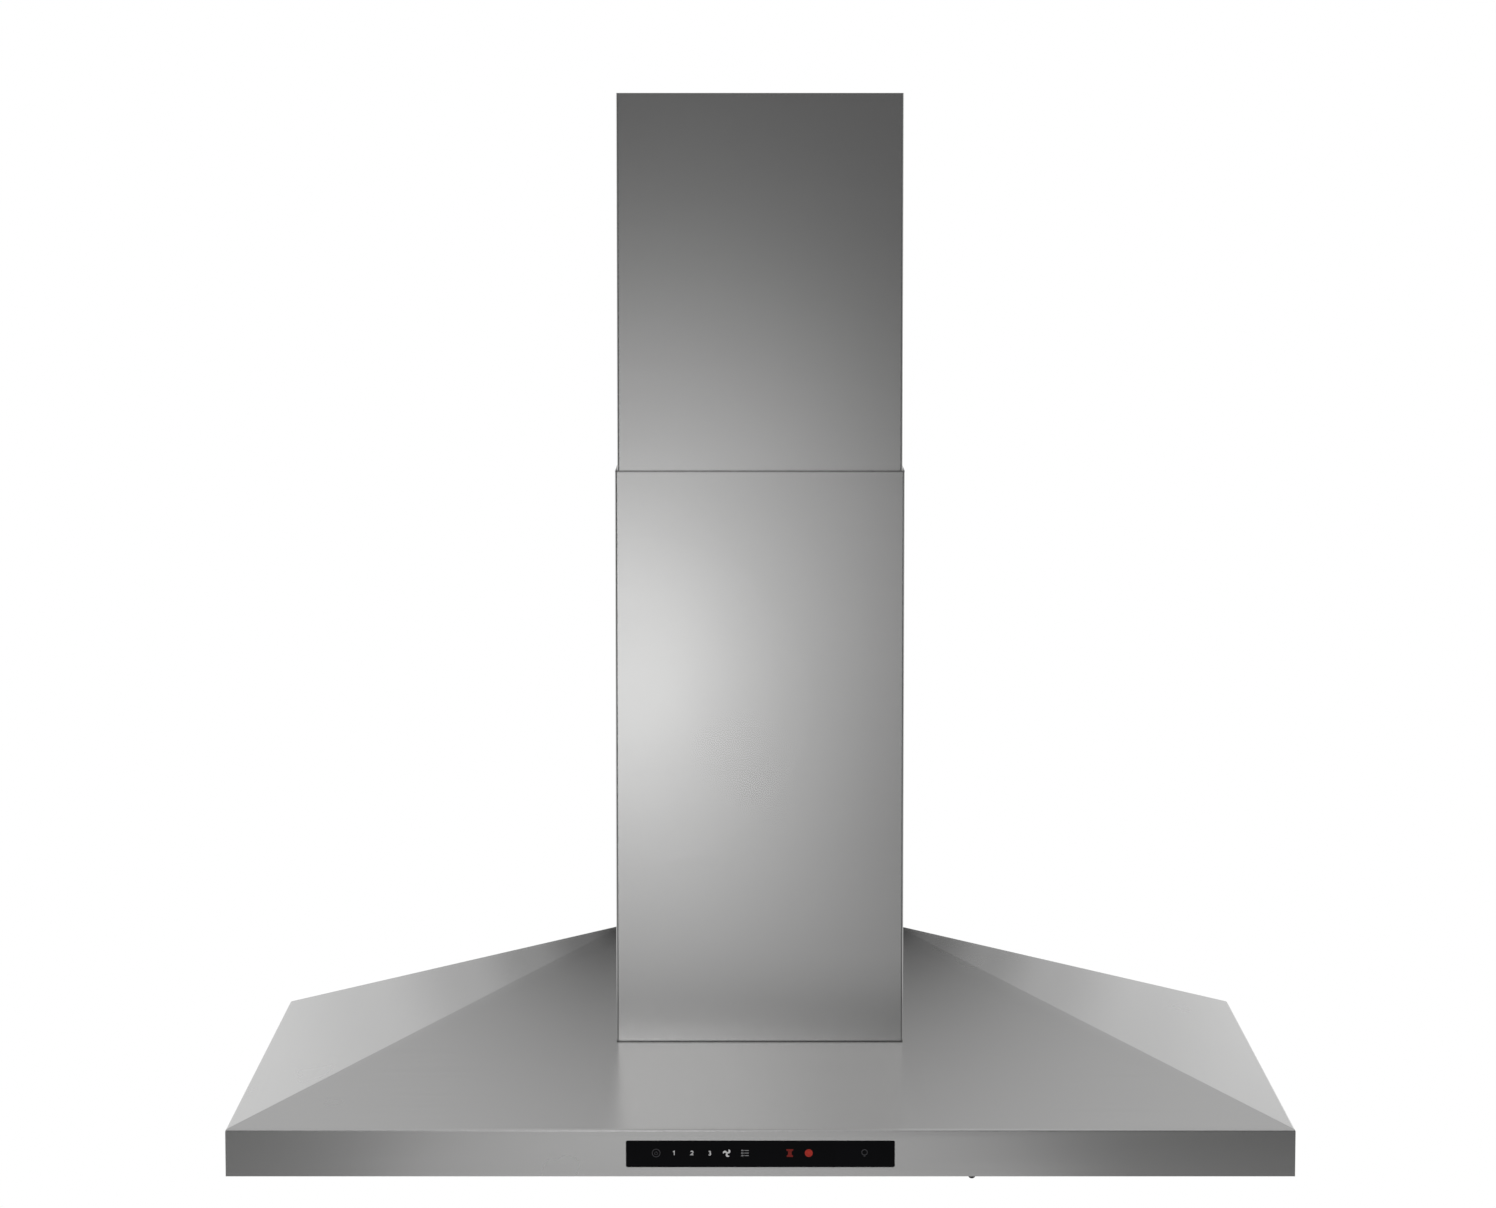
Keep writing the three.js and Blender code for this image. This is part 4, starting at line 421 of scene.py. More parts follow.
def painted_edge_shade(tree, low, high):
    """Painted shade: 1 on the sheet, falling to EDGE_SHADE at its lower and upper edge; low and high are
    heights.
    """
    height = add_node(tree, "ShaderNodeSeparateXYZ", Vector=own_place(tree)).outputs["Z"]
    above = math_node(tree, "SUBTRACT", height, low)
    below = math_node(tree, "SUBTRACT", high, height)
    nearest = math_node(tree, "MINIMUM", above, below)
    made = tree.nodes.new("ShaderNodeMapRange")
    tree.links.new(nearest, made.inputs["Value"])
    made.inputs["From Min"].default_value = 0.5 * EDGE_REACH
    made.inputs["From Max"].default_value = EDGE_REACH
    made.inputs["To Min"].default_value = EDGE_SHADE
    return made.outputs["Result"]


# The thin dark lines along the cut edges are painted shade.
print("cut edges are dull within", EDGE_REACH / MM, "mm")

# %% Brushed steel
GRAIN_LINES = 2600.0  # across the grain, per metre
GRAIN_LENGTH = 22.0  # along the grain, per metre
STREAK_LINES = 240.0
STREAK_LENGTH = 5.0
LINE_CONTRAST = 0.002  # a share of the steel's brightness, up and down
STREAK_CONTRAST = 0.022
CLOUD_SIZE = 7.0  # clouds in a metre
STEEL_GLOSS = (0.26, 0.28)  # roughness from cloud to cloud
STEEL_PULL = 0.36  # how far the brushing draws a highlight out
COVER_LEVEL = 0.6  # brightness of the covers' steel
# The canopy is the same steel as the covers; its higher brightness is painted light, standing in for more
# light on the canopy.
CANOPY_LEVEL = 0.72


def brushed_steel(name, level, edges=None):
    """Steel of this brightness, with fine lines, broader streaks and a cloudy gloss; given edges as two
    heights, it gets painted shade along them.
    """
    material, tree, shader = new_finish(
        name, (level, level, level), 1.0, 0.27, Anisotropic=STEEL_PULL, Anisotropic_Rotation=0.25
    )
    across, along, direction = grain_axes(tree)
    lines = stretched(tree, across, along, GRAIN_LINES, GRAIN_LENGTH, 3.0)
    streaks = stretched(tree, across, along, STREAK_LINES, STREAK_LENGTH, 7.0)
    cloud = noise(tree, own_place(tree), CLOUD_SIZE)
    line_share = spread(tree, lines, -LINE_CONTRAST, LINE_CONTRAST)
    streak_share = spread(tree, streaks, -STREAK_CONTRAST, STREAK_CONTRAST)
    shares = math_node(tree, "ADD", line_share, streak_share)
    brightness = math_node(tree, "MULTIPLY", math_node(tree, "ADD", shares, 1.0), level)
    # Painted shade: the steel's colour grows darker along the two cut edges.
    if edges:
        brightness = math_node(tree, "MULTIPLY", brightness, painted_edge_shade(tree, *edges))
    tree.links.new(grey(tree, brightness, (1.0, 0.998, 0.992)), shader.inputs["Base Color"])
    tree.links.new(spread(tree, cloud, *STEEL_GLOSS), shader.inputs["Roughness"])
    tree.links.new(direction, shader.inputs["Tangent"])
    add_bump(tree, shader, streaks, 0.01, 0.00001)
    return material


steel = brushed_steel("brushed_steel", COVER_LEVEL)
canopy_steel = brushed_steel("canopy_steel", CANOPY_LEVEL)
# The lower cover's steel gets painted shade along its lower and upper edges.
cover_low, cover_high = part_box("lower_chimney")
cover_steel = brushed_steel("cover_steel", COVER_LEVEL, (cover_low.z, cover_high.z))
print("brushed steel:", len(steel.node_tree.nodes), "nodes")

# %% [markdown]
# ### Zinc-coated sheet
# The rear panel, the suction box and the blower's casing are galvanised. Zinc freezes in flat
# crystals half a centimetre across, and each one throws the light back a little differently. A
# Voronoi pattern gives such cells: each cell's random colour sets its brightness and its gloss.

# %% Galvanised sheet
def galvanised_sheet():
    """Zinc crystals whose edges are drawn a little crooked, under a fine grain."""
    material, tree, shader = new_finish("galvanised_sheet", (0.6, 0.61, 0.62), 1.0, 0.45)
    place = own_place(tree)
    warp = add_node(tree, "ShaderNodeTexNoise", Vector=place, Scale=90.0, Detail=2.0)
    moved = add_node(tree, "ShaderNodeVectorMath", {"operation": "MULTIPLY_ADD"})
    tree.links.new(warp.outputs["Color"], moved.inputs[0])
    moved.inputs[1].default_value = (0.006, 0.006, 0.006)
    tree.links.new(place, moved.inputs[2])
    cells = add_node(tree, "ShaderNodeTexVoronoi", Vector=moved.outputs[0], Scale=170.0)
    cell = add_node(tree, "ShaderNodeSeparateColor", Color=cells.outputs["Color"])
    fine = noise(tree, place, 900.0)
    cell_light = spread(tree, cell.outputs[0], 0.55, 0.61)
    brightness = math_node(tree, "ADD", cell_light, spread(tree, fine, -0.015, 0.015))
    tree.links.new(grey(tree, brightness, (0.985, 1.0, 1.01)), shader.inputs["Base Color"])
    tree.links.new(spread(tree, cell.outputs[1], 0.42, 0.48), shader.inputs["Roughness"])
    add_bump(tree, shader, fine, 0.15, 0.00004)
    return material


galvanised = galvanised_sheet()
print("zinc crystals:", len(galvanised.node_tree.nodes), "nodes")

# %% [markdown]
# ### Bright zinc and aluminium
# Screws and springs are steel with a thin bright coat of zinc, which stains a little where fingers
# have touched it. The filters are rolled aluminium, whose fine lines run along the strip. An image
# could carry such marks, but it would blur close up. Noise is worked out anew for every point and
# stays sharp, so it draws the stains here and, stretched fortyfold, the lines.

# %% Bright zinc and aluminium
def bright_zinc():
    """Plated steel of screws and springs, with slight stains that are also glossier."""
    material, tree, shader = new_finish("bright_zinc", (0.72, 0.73, 0.75), 1.0, 0.24)
    place = own_place(tree)
    stain = noise(tree, place, 160.0)
    stained = grey(tree, spread(tree, stain, 0.62, 0.78), (0.99, 0.995, 1.01))
    tree.links.new(stained, shader.inputs["Base Color"])
    tree.links.new(spread(tree, stain, 0.3, 0.18), shader.inputs["Roughness"])
    add_bump(tree, shader, noise(tree, place, 1500.0), 0.1, 0.00003)
    return material


def satin_aluminium():
    """Rolled aluminium: fine lines along X and a cloudy gloss."""
    material, tree, shader = new_finish("satin_aluminium", (0.74, 0.75, 0.76), 1.0, 0.36)
    place = own_place(tree)
    rolled = add_node(tree, "ShaderNodeMapping", Vector=place, Scale=(40.0, 1600.0, 1600.0))
    streaks = noise(tree, rolled.outputs[0], 1.0)
    cloud = noise(tree, place, 25.0)
    line_light = spread(tree, streaks, 0.68, 0.76)
    brightness = math_node(tree, "ADD", line_light, spread(tree, cloud, -0.03, 0.03))
    tree.links.new(grey(tree, brightness, (0.995, 1.0, 1.008)), shader.inputs["Base Color"])
    tree.links.new(spread(tree, cloud, 0.32, 0.42), shader.inputs["Roughness"])
    add_bump(tree, shader, streaks, 0.2, 0.00003)
    return material


zinc = bright_zinc()
aluminium = satin_aluminium()
print("metals:", zinc.name, aluminium.name)

# %% [markdown]
# ### Plastics, rubber and boards
# Moulded plastic is never quite smooth: the tool has been eroded to a fine skin, which spreads the
# highlights. Noise in the bump does that, and a slow change in colour keeps it from looking like
# paper. Rubber is the same with a coarser, duller skin. The circuit boards get copper tracks under a
# green lacquer, drawn by a brick pattern whose mortar is the track. The lenses of the lamps are milky
# plastic with small prisms in its skin, which spread the light; a Voronoi pattern in the bump gives
# them without a single face.

# %% Moulded plastics and rubber
def moulded(name, color, roughness, skin=2200.0, depth=0.00005):
    """Plastic or rubber; skin is the tool's texture in bumps a metre, depth its height in metres."""
    material, tree, shader = new_finish(name, color, 0.0, roughness)
    place = own_place(tree)
    cloud = noise(tree, place, 30.0)
    darker = tuple(0.88 * c for c in color)
    lighter = tuple(min(1.0, 1.08 * c) for c in color)
    tree.links.new(ramp_node(tree, cloud, [(0.3, darker), (0.7, lighter)]), shader.inputs["Base Color"])
    tree.links.new(spread(tree, cloud, roughness - 0.05, roughness + 0.06), shader.inputs["Roughness"])
    add_bump(tree, shader, noise(tree, place, skin), 0.35, depth)
    return material


black_plastic = moulded("black_plastic", (0.022, 0.022, 0.024), 0.48)
grey_plastic = moulded("grey_plastic", (0.13, 0.135, 0.14), 0.5)
white_plastic = moulded("white_plastic", (0.78, 0.78, 0.75), 0.42)
rubber = moulded("rubber", (0.02, 0.02, 0.02), 0.8, skin=1200.0, depth=0.0001)
lead_sheath = moulded("lead_sheath", (0.055, 0.056, 0.06), 0.55, skin=900.0)
print("plastics ready")

# %% Circuit board and lamp glass
def circuit_board():
    """Green lacquer over copper tracks, with a clear coat."""
    material, tree, shader = new_finish("circuit_board", (0.02, 0.14, 0.06), 0.0, 0.35, Coat_Weight=0.4)
    tracks = add_node(
        tree, "ShaderNodeTexBrick", Vector=own_place(tree), Scale=160.0, Mortar_Size=0.035, Brick_Width=0.9
    )
    tracks.inputs["Color1"].default_value = (0.012, 0.095, 0.04, 1)
    tracks.inputs["Color2"].default_value = (0.016, 0.12, 0.05, 1)
    tracks.inputs["Mortar"].default_value = (0.05, 0.24, 0.1, 1)
    tree.links.new(tracks.outputs["Color"], shader.inputs["Base Color"])
    add_bump(tree, shader, tracks.outputs["Fac"], 0.3, 0.00003)
    return material


def frosted_lens():
    """Milky plastic with small prisms in its skin."""
    material, tree, shader = new_finish(
        "frosted_lens", (0.94, 0.94, 0.91), 0.0, 0.38, Transmission_Weight=0.35, IOR=1.49
    )
    place = own_place(tree)
    prisms = add_node(tree, "ShaderNodeTexVoronoi", Vector=place, Scale=420.0)
    tree.links.new(spread(tree, noise(tree, place, 60.0), 0.3, 0.45), shader.inputs["Roughness"])
    add_bump(tree, shader, prisms.outputs["Distance"], 0.35, 0.0004)
    return material


board_green = circuit_board()
lens_frost = frosted_lens()
print("board and lens ready")

# %% [markdown]
# ## Sheets and housings of the model
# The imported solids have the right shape, so most of them stay. Each gets its finish, and a narrow
# bevel: no folded sheet or moulded part has a perfectly sharp edge, and it is that thin rounded edge
# which catches the light. A Weld modifier first joins the loose corners, then Bevel rounds what is
# sharper than 25 degrees, and Weighted Normal keeps the broad faces flat.

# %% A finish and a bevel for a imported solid
EDGE_ANGLE = 25.0


def dress(name, material, bevel=0.3, segments=2):
    """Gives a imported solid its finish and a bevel, in millimetres."""
    node = nodes[name]
    node.data.materials.clear()
    node.data.materials.append(material)
    node.data.shade_smooth()
    weld = node.modifiers.new("weld", "WELD")
    weld.merge_threshold = 0.000002
    if bevel:
        edge = node.modifiers.new("edge", "BEVEL")
        edge.width = bevel * MM
        edge.segments = segments
        edge.limit_method = "ANGLE"
        edge.angle_limit = math.radians(EDGE_ANGLE)
    flat = node.modifiers.new("flat", "WEIGHTED_NORMAL")
    flat.keep_sharp = False
    return node


print("edges over", EDGE_ANGLE, "degrees get a bevel")

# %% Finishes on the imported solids
FINISHES = {  # material, bevel in millimetres
    "canopy_shell": (canopy_steel, 0.22),
    "underside_tray": (canopy_steel, 0.25),
    "lower_chimney": (cover_steel, 0.25),
    "upper_chimney": (steel, 0.25),
    "rear_panel": (galvanised, 0.25),
    "ceiling_bracket": (galvanised, 0.3),
    "chimney_foot_left": (galvanised, 0.3),
    "chimney_foot_right": (galvanised, 0.3),
    "suction_box": (galvanised, 0.25),
    "scroll_housing": (galvanised, 0.25),
    "inlet_ring_left": (galvanised, 0.0),
    "inlet_ring_right": (galvanised, 0.0),
    "control_glass": (black_plastic, 0.3),
    "control_carrier": (black_plastic, 0.4),
    "infrared_receiver": (black_plastic, 0.2),
    "impeller": (black_plastic, 0.15),
    "outlet_collar": (black_plastic, 0.3),
    "damper_bridge": (black_plastic, 0.3),
    "cable_gland": (black_plastic, 0.4),
    "capacitor": (black_plastic, 0.5),
    "touch_board": (board_green, 0.15),
    "power_board": (board_green, 0.15),
    "lamp_bezel_left": (zinc, 0.2),
    "lamp_bezel_right": (zinc, 0.2),
    "motor_shaft": (zinc, 0.2),
    "motor_spider": (zinc, 0.3),
    "motor_case": (galvanised, 0.4),
    "lamp_lens_left": (lens_frost, 0.0),
    "lamp_lens_right": (lens_frost, 0.0),
    "damper_flap_rear": (grey_plastic, 0.25),
    "damper_flap_front": (grey_plastic, 0.25),
    "electronics_case": (white_plastic, 0.4),
    "electronics_lid": (white_plastic, 0.4),
    "terminal_block": (white_plastic, 0.3),
    "control_cable": (lead_sheath, 0.0),
    "lamp_lead_left": (lead_sheath, 0.0),
    "lamp_lead_right": (lead_sheath, 0.0),
    "motor_lead": (lead_sheath, 0.0),
}
for number in range(1, 4):
    FINISHES[f"motor_bush_{number}"] = (rubber, 0.2)
for side in ("left", "right"):
    FINISHES[f"chimney_screw_{side}"] = (zinc, 0.2)
    FINISHES[f"bracket_screw_{side}"] = (zinc, 0.2)
for place_name in ("left", "centre", "right"):
    FINISHES[f"{place_name}_filter_frame"] = (aluminium, 0.3)
    FINISHES[f"{place_name}_filter_mesh"] = (aluminium, 0.0)
    FINISHES[f"{place_name}_filter_latch"] = (grey_plastic, 0.4)
    FINISHES[f"{place_name}_latch_spring"] = (zinc, 0.0)
for node_name, (node_finish, node_bevel) in FINISHES.items():
    dress(node_name, node_finish, node_bevel)
undressed = sorted(set(nodes) - set(FINISHES))
print("dressed", len(FINISHES), "nodes, left", undressed)

# %% [markdown]
# ## Making pieces
# Everything that the solids leave out is built from meshes. A few small tools are enough: one turns
# a finished mesh into a piece that rides on a body of the hood, one pushes a flat outline back
# into a plate, one draws a line of even width, and one turns a profile round an axis, as a lathe
# does. Others give the points of arcs and rounded outlines. Sizes inside them are in millimetres,
# because that is how such parts are drawn. A drawing lies in the upright plane XZ, so that what is
# drawn is what the front shows, and can then be laid down flat.

# %% From a mesh to a piece
SMOOTH_ANGLE = 32.0


def finish_piece(builder, name, finish, place=(0, 0, 0), turn=None, body="root", bevel=0.0):
    """Turns a mesh in millimetres into a piece that rides on a body; turn is a rotation matrix."""
    bmesh.ops.recalc_face_normals(builder, faces=builder.faces)
    mesh = bpy.data.meshes.new(name)
    builder.to_mesh(mesh)
    builder.free()
    if turn is not None:
        mesh.transform(turn.to_4x4())
    mesh.transform(Matrix.Translation(place) @ Matrix.Scale(MM, 4))
    mesh.shade_smooth()
    mesh.set_sharp_from_angle(angle=math.radians(SMOOTH_ANGLE))
    mesh.materials.append(finish)
    piece = bpy.data.objects.new(name, mesh)
    scene.collection.objects.link(piece)
    if bevel:
        edge = piece.modifiers.new("edge", "BEVEL")
        edge.width = bevel * MM
        edge.segments = 2
        edge.limit_method = "ANGLE"
        edge.angle_limit = math.radians(EDGE_ANGLE)
        edge.harden_normals = True
    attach(piece, body)
    return piece


print("faces meet smoothly up to", SMOOTH_ANGLE, "degrees")

# %% Plates, strokes and blocks
def add_plate(builder, outline, depth, front=0.0):
    """A flat outline of (x, z) points in millimetres, pushed back from y = front by depth."""
    near = [builder.verts.new((x, front, z)) for x, z in outline]
    far = [builder.verts.new((x, front + depth, z)) for x, z in outline]
    builder.faces.new(near)
    builder.faces.new(list(reversed(far)))
    for i in range(len(outline)):
        j = (i + 1) % len(outline)
        builder.faces.new((near[j], near[i], far[i], far[j]))


def add_stroke(builder, points, width, depth, closed=False, tilt=0.0):
    """A line of even width through (x, z) points, as a thin solid whose front is at y = 0."""
    count = len(points)
    rows = []
    for i in range(count):
        here = Vector(points[i])
        before = Vector(points[i - 1]) if closed or i else None
        after = Vector(points[(i + 1) % count]) if closed or i < count - 1 else None
        arriving = (here - before).normalized() if before else (after - here).normalized()
        leaving = (after - here).normalized() if after else arriving
        middle = (arriving + leaving).normalized()
        reach = width / 2 / max(0.5, middle.dot(leaving))
        side = Vector((-middle.y, middle.x)) * reach
        left, right = here + side, here - side
        row = [(left, -tilt), (right, tilt), (right, depth + tilt), (left, depth - tilt)]
        rows.append([builder.verts.new((p.x, y, p.y)) for p, y in row])
    for i in range(count if closed else count - 1):
        one, two = rows[i], rows[(i + 1) % count]
        for k in range(4):
            builder.faces.new((one[k], one[(k + 1) % 4], two[(k + 1) % 4], two[k]))
    if not closed:
        builder.faces.new(rows[0])
        builder.faces.new(list(reversed(rows[-1])))


def add_block(builder, low, high):
    """A box from one corner to the other."""
    spans = list(zip(low, high))
    corners = [builder.verts.new((x, y, z)) for x in spans[0] for y in spans[1] for z in spans[2]]
    for side in ((0, 1, 3, 2), (4, 6, 7, 5), (0, 4, 5, 1), (2, 3, 7, 6), (0, 2, 6, 4), (1, 5, 7, 3)):
        builder.faces.new([corners[i] for i in side])


def lay_down(builder):
    """Turns a drawing in the upright plane XZ into one in the level plane XY."""
    for vert in builder.verts:
        vert.co = Vector((vert.co.x, vert.co.z, vert.co.y))


print("helpers for flat shapes are ready")

# %% Arcs and rounded outlines
def arc(centre, radius, start, end, steps=16):
    """Points of a round stretch; angles are in degrees, anticlockwise from the right."""
    points = []
    for i in range(steps + 1):
        angle = math.radians(start + (end - start) * i / steps)
        points.append((centre[0] + radius * math.cos(angle), centre[1] + radius * math.sin(angle)))
    return points


def circle(centre, radius, steps=32):
    """Points of a full round, each of them once."""
    return arc(centre, radius, 0, 360, steps)[:-1]


def rounded_rectangle(width, height, radius, steps=5):
    """A rectangle's outline round the origin, anticlockwise."""
    points = []
    for i, (sx, sz) in enumerate(((1, 1), (-1, 1), (-1, -1), (1, -1))):
        centre = (sx * (width / 2 - radius), sz * (height / 2 - radius))
        points += arc(centre, radius, 90 * i, 90 * i + 90, steps)
    return points


def soften(profile, radius, steps=3):
    """Rounds the corners of an open profile."""
    points = [profile[0]]
    for before, corner, after in zip(profile, profile[1:], profile[2:]):
        a, c, b = Vector(before), Vector(corner), Vector(after)
        reach = min(radius, 0.45 * (a - c).length, 0.45 * (b - c).length)
        start = c + (a - c).normalized() * reach
        end = c + (b - c).normalized() * reach
        for i in range(steps + 1):
            t = i / steps
            points.append(tuple((1 - t) ** 2 * start + 2 * t * (1 - t) * c + t * t * end))
    points.append(profile[-1])
    return points


print("helpers for outlines are ready")

# %% The lathe
def add_turned(builder, profile, segments=72, closed=True):
    """A profile of (radius, height) points turned round Z. It ends on the axis or closes on itself."""
    rings = []
    for radius, height in profile:
        if radius < 1e-6:
            rings.append([builder.verts.new((0, 0, height))])
            continue
        ring = []
        for i in range(segments):
            angle = 2 * math.pi * i / segments
            ring.append(builder.verts.new((radius * math.cos(angle), radius * math.sin(angle), height)))
        rings.append(ring)
    pairs = list(zip(rings, rings[1:]))
    if closed and len(rings[0]) > 1:
        pairs.append((rings[-1], rings[0]))
    for one, two in pairs:
        for i in range(segments):
            j = (i + 1) % segments
            corners = [one[i % len(one)], one[j % len(one)], two[j % len(two)], two[i % len(two)]]
            unique = list(dict.fromkeys(corners))
            if len(unique) > 2:
                builder.faces.new(unique)


TURN_X = Matrix.Rotation(math.radians(90), 3, "Y")  # lathe axis along +X
TURN_BACK_X = Matrix.Rotation(math.radians(-90), 3, "Y")  # lathe axis along -X
TURN_TO_BACK = Matrix.Rotation(math.radians(-90), 3, "X")  # lathe axis towards +Y, a plate's front up
TURN_DOWN = Matrix.Rotation(math.pi, 3, "X")  # lathe axis along -Z
UPRIGHT = Matrix.Identity(3)  # lathe axis along +Z
print("the lathe is ready")

# %% [markdown]
# ## The touch panel
# The control panel is a strip of toughened glass, printed black on its back, that stands a fraction
# of a millimetre proud of the skirt. Its edges are ground round. A plate with a rounded outline and
# a fine bevel gives that, and its finish is almost black, with a sharp but weak reflection. Slight
# waves in the bump stand for the roller marks of real glass.

# %% Control glass
GLASS_CORNER = 1.0  # millimetres
GLASS_EDGE = 0.3
GLASS_BACK = 0.1  # the plate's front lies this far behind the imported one's

glass_low, glass_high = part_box("control_glass")
glass_width = (glass_high.x - glass_low.x) / MM
glass_height = (glass_high.z - glass_low.z) / MM
glass_centre = (glass_low + glass_high) / 2


def black_glass():
    """Glass printed black behind, with a slight smear in its gloss and roller waves in its face."""
    material, tree, shader = new_finish(
        "black_glass", (0.0012, 0.0014, 0.0024), 0.0, 0.06, Specular_IOR_Level=0.12
    )
    place = own_place(tree)
    smear = noise(tree, place, 55.0)
    tree.links.new(spread(tree, smear, 0.04, 0.11), shader.inputs["Roughness"])
    print_black = ramp_node(tree, smear, [(0.3, (0.001, 0.0012, 0.002)), (0.7, (0.0016, 0.0018, 0.003))])
    tree.links.new(print_black, shader.inputs["Base Color"])
    add_bump(tree, shader, noise(tree, place, 18.0, detail=0.0), 0.1, 0.0001)
    return material


glass_depth = (glass_high.y - glass_low.y) / MM
glass_black = black_glass()
builder = bmesh.new()
glass_outline = rounded_rectangle(glass_width, glass_height, GLASS_CORNER)
add_plate(builder, glass_outline, glass_depth - GLASS_BACK, GLASS_BACK)
glass_front = Vector((glass_centre.x, glass_low.y, glass_centre.z))
panel = finish_piece(builder, "touch_glass", glass_black, glass_front, bevel=GLASS_EDGE)
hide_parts("control_glass")
print("glass of", round(glass_width, 1), "by", round(glass_height, 1), "mm")

# %% [markdown]
# ### The symbols on the glass
# Nine signs show through the glass: on and off, the three speeds, a fan, a timer for after-running, a filter
# reminder, a red dot and a lamp. They are generic signs, drawn here with strokes of even width and a few
# filled shapes. Each sign's colour is given as emission: a painted glow, which shows the same under any
# light, with no lamp behind the glass.

# %% Finishes of the symbols
def painted_glow_print(name, color):
    """A sign whose colour is a painted glow, emitted with no lamp behind it; the glow varies a little from
    place to place.
    """
    material, tree, shader = new_finish(name, (0.01, 0.01, 0.01), 0.0, 0.3, Specular_IOR_Level=0.1)
    dim = tuple(0.8 * c for c in color)
    bright = tuple(min(1.0, 1.15 * c) for c in color)
    glow = ramp_node(tree, noise(tree, own_place(tree), 700.0), [(0.3, dim), (0.7, bright)])
    tree.links.new(glow, shader.inputs["Emission Color"])
    shader.inputs["Emission Strength"].default_value = 1.0
    return material


sign_white = painted_glow_print("sign_white", (0.42, 0.42, 0.42))
sign_grey = painted_glow_print("sign_grey", (0.17, 0.17, 0.175))
sign_dark = painted_glow_print("sign_dark", (0.042, 0.042, 0.045))
sign_red = painted_glow_print("sign_red", (0.27, 0.02, 0.013))
sign_dull_red = painted_glow_print("sign_dull_red", (0.12, 0.009, 0.006))
print("finishes of the symbols: 5")

# %% Drawings of the power sign and the numbers
SIGN_LIFT = 0.8  # the row of signs above the glass's middle, in millimetres
SIGN_DEPTH = 0.12
SIGN_FRONT = 0.04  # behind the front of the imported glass


def draw_power(builder, width):
    add_stroke(builder, circle((0, 0), 3.3), width, SIGN_DEPTH, closed=True)
    add_stroke(builder, arc((0, -0.2), 1.3, 130, 410, 20), 0.6 * width, SIGN_DEPTH)
    add_stroke(builder, [(0, 0.1), (0, 1.6)], width, SIGN_DEPTH)


def draw_one(builder, width):
    add_stroke(builder, [(-0.8, 0.95), (0.2, 1.65), (0.2, -1.8)], width, SIGN_DEPTH)


def draw_two(builder, width):
    curve = arc((0, 0.65), 1.0, 165, -40, 12)
    add_stroke(builder, curve + [(-1.1, -1.5), (1.2, -1.5)], width, SIGN_DEPTH)


def draw_three(builder, width):
    top = arc((-0.1, 0.8), 0.8, 150, -90, 12)
    bottom = arc((-0.1, -0.85), 0.92, 90, -150, 12)
    add_stroke(builder, top + bottom, width, SIGN_DEPTH)


print("drawings: power, one, two, three")

# %% Drawings of the other signs
def draw_fan(builder, width):
    """Three curved blades round a hub, each from two arcs."""
    add_plate(builder, circle((0, 0), 0.7, 16), SIGN_DEPTH)
    for blade in range(3):
        turn = Matrix.Rotation(math.radians(120 * blade + 20), 2)
        outer = arc((1.5, 0.9), 1.75, -150, 60, 10)
        inner = arc((1.0, 1.6), 1.0, 30, -120, 6)
        outline = [tuple(turn @ Vector(p)) for p in outer + inner]
        add_plate(builder, outline, SIGN_DEPTH)


def draw_airing(builder, width):
    """A timer for after-running: three lines of air behind a short wavy edge."""
    for row in (-1, 0, 1):
        z = 2.2 * row
        wave = [(-3.1, z - 0.5), (-2.4, z + 0.4), (-1.7, z - 0.4), (-1.1, z + 0.3)]
        add_stroke(builder, [(-0.4, z), (3.2, z)], width, SIGN_DEPTH)
        add_stroke(builder, wave, width, SIGN_DEPTH)


def draw_filter(builder, width):
    """A filter reminder: a funnel over a tray, with a narrow waist."""
    right = [(2.9, 3.3), (2.9, 2.3), (1.5, 1.4), (1.5, -1.2), (2.6, -2.2), (2.6, -3.3)]
    add_plate(builder, right + [(-x, z) for x, z in reversed(right)], SIGN_DEPTH)


def draw_dot(builder, width):
    add_plate(builder, circle((0, 0), 3.3, 40), SIGN_DEPTH)


def draw_lamp(builder, width):
    bulb = arc((0, 0.6), 2.3, -60, 240, 24)
    add_stroke(builder, bulb, width, SIGN_DEPTH)
    add_stroke(builder, [(-1.1, -1.6), (1.1, -1.6)], width, SIGN_DEPTH)
    add_stroke(builder, [(-0.7, -2.6), (0.7, -2.6)], width, SIGN_DEPTH)


print("drawings: fan, airing, filter, dot, lamp")

# %% Symbols
SIGNS = [  # name, place along the glass, drawing, width of its lines, finish
    ("sign_power", -87.5, draw_power, 0.45, sign_dark),
    ("sign_speed_1", -72.5, draw_one, 0.7, sign_white),
    ("sign_speed_2", -57.5, draw_two, 0.7, sign_white),
    ("sign_speed_3", -42.5, draw_three, 0.7, sign_white),
    ("sign_fan", -28.0, draw_fan, 0.0, sign_white),
    ("sign_airing", -13.0, draw_airing, 0.6, sign_grey),
    ("sign_filter", 24.7, draw_filter, 0.0, sign_dull_red),
    ("sign_dot", 40.6, draw_dot, 0.0, sign_red),
    ("sign_lamp", 87.4, draw_lamp, 0.5, sign_dark),
]
for sign_name, sign_x, draw, line_width, sign_finish in SIGNS:
    builder = bmesh.new()
    draw(builder, line_width)
    sign_place = glass_front + Vector((sign_x, SIGN_FRONT, SIGN_LIFT)) * MM
    finish_piece(builder, sign_name, sign_finish, sign_place)
print("symbols:", len(SIGNS))

# %% [markdown]
# ## The grease filters
# Each filter is a frame of aluminium channel round layers of expanded metal. Expanded metal is a
# sheet that has been slit and pulled, so it is made of zigzag strands which meet at every corner, and
# each strand is twisted a little out of the sheet. We draw exactly that: one zigzag stroke a row,
# each row shifted by half a diamond against the one before. A fine layer lies at the bottom, where the
# air comes in, and a coarser one above it. The pocket of the latch is left out. The latch itself has
# half-round ribs across its front, where a finger pulls it. Their backs are sunk a little into it, so
# that no gap shows.

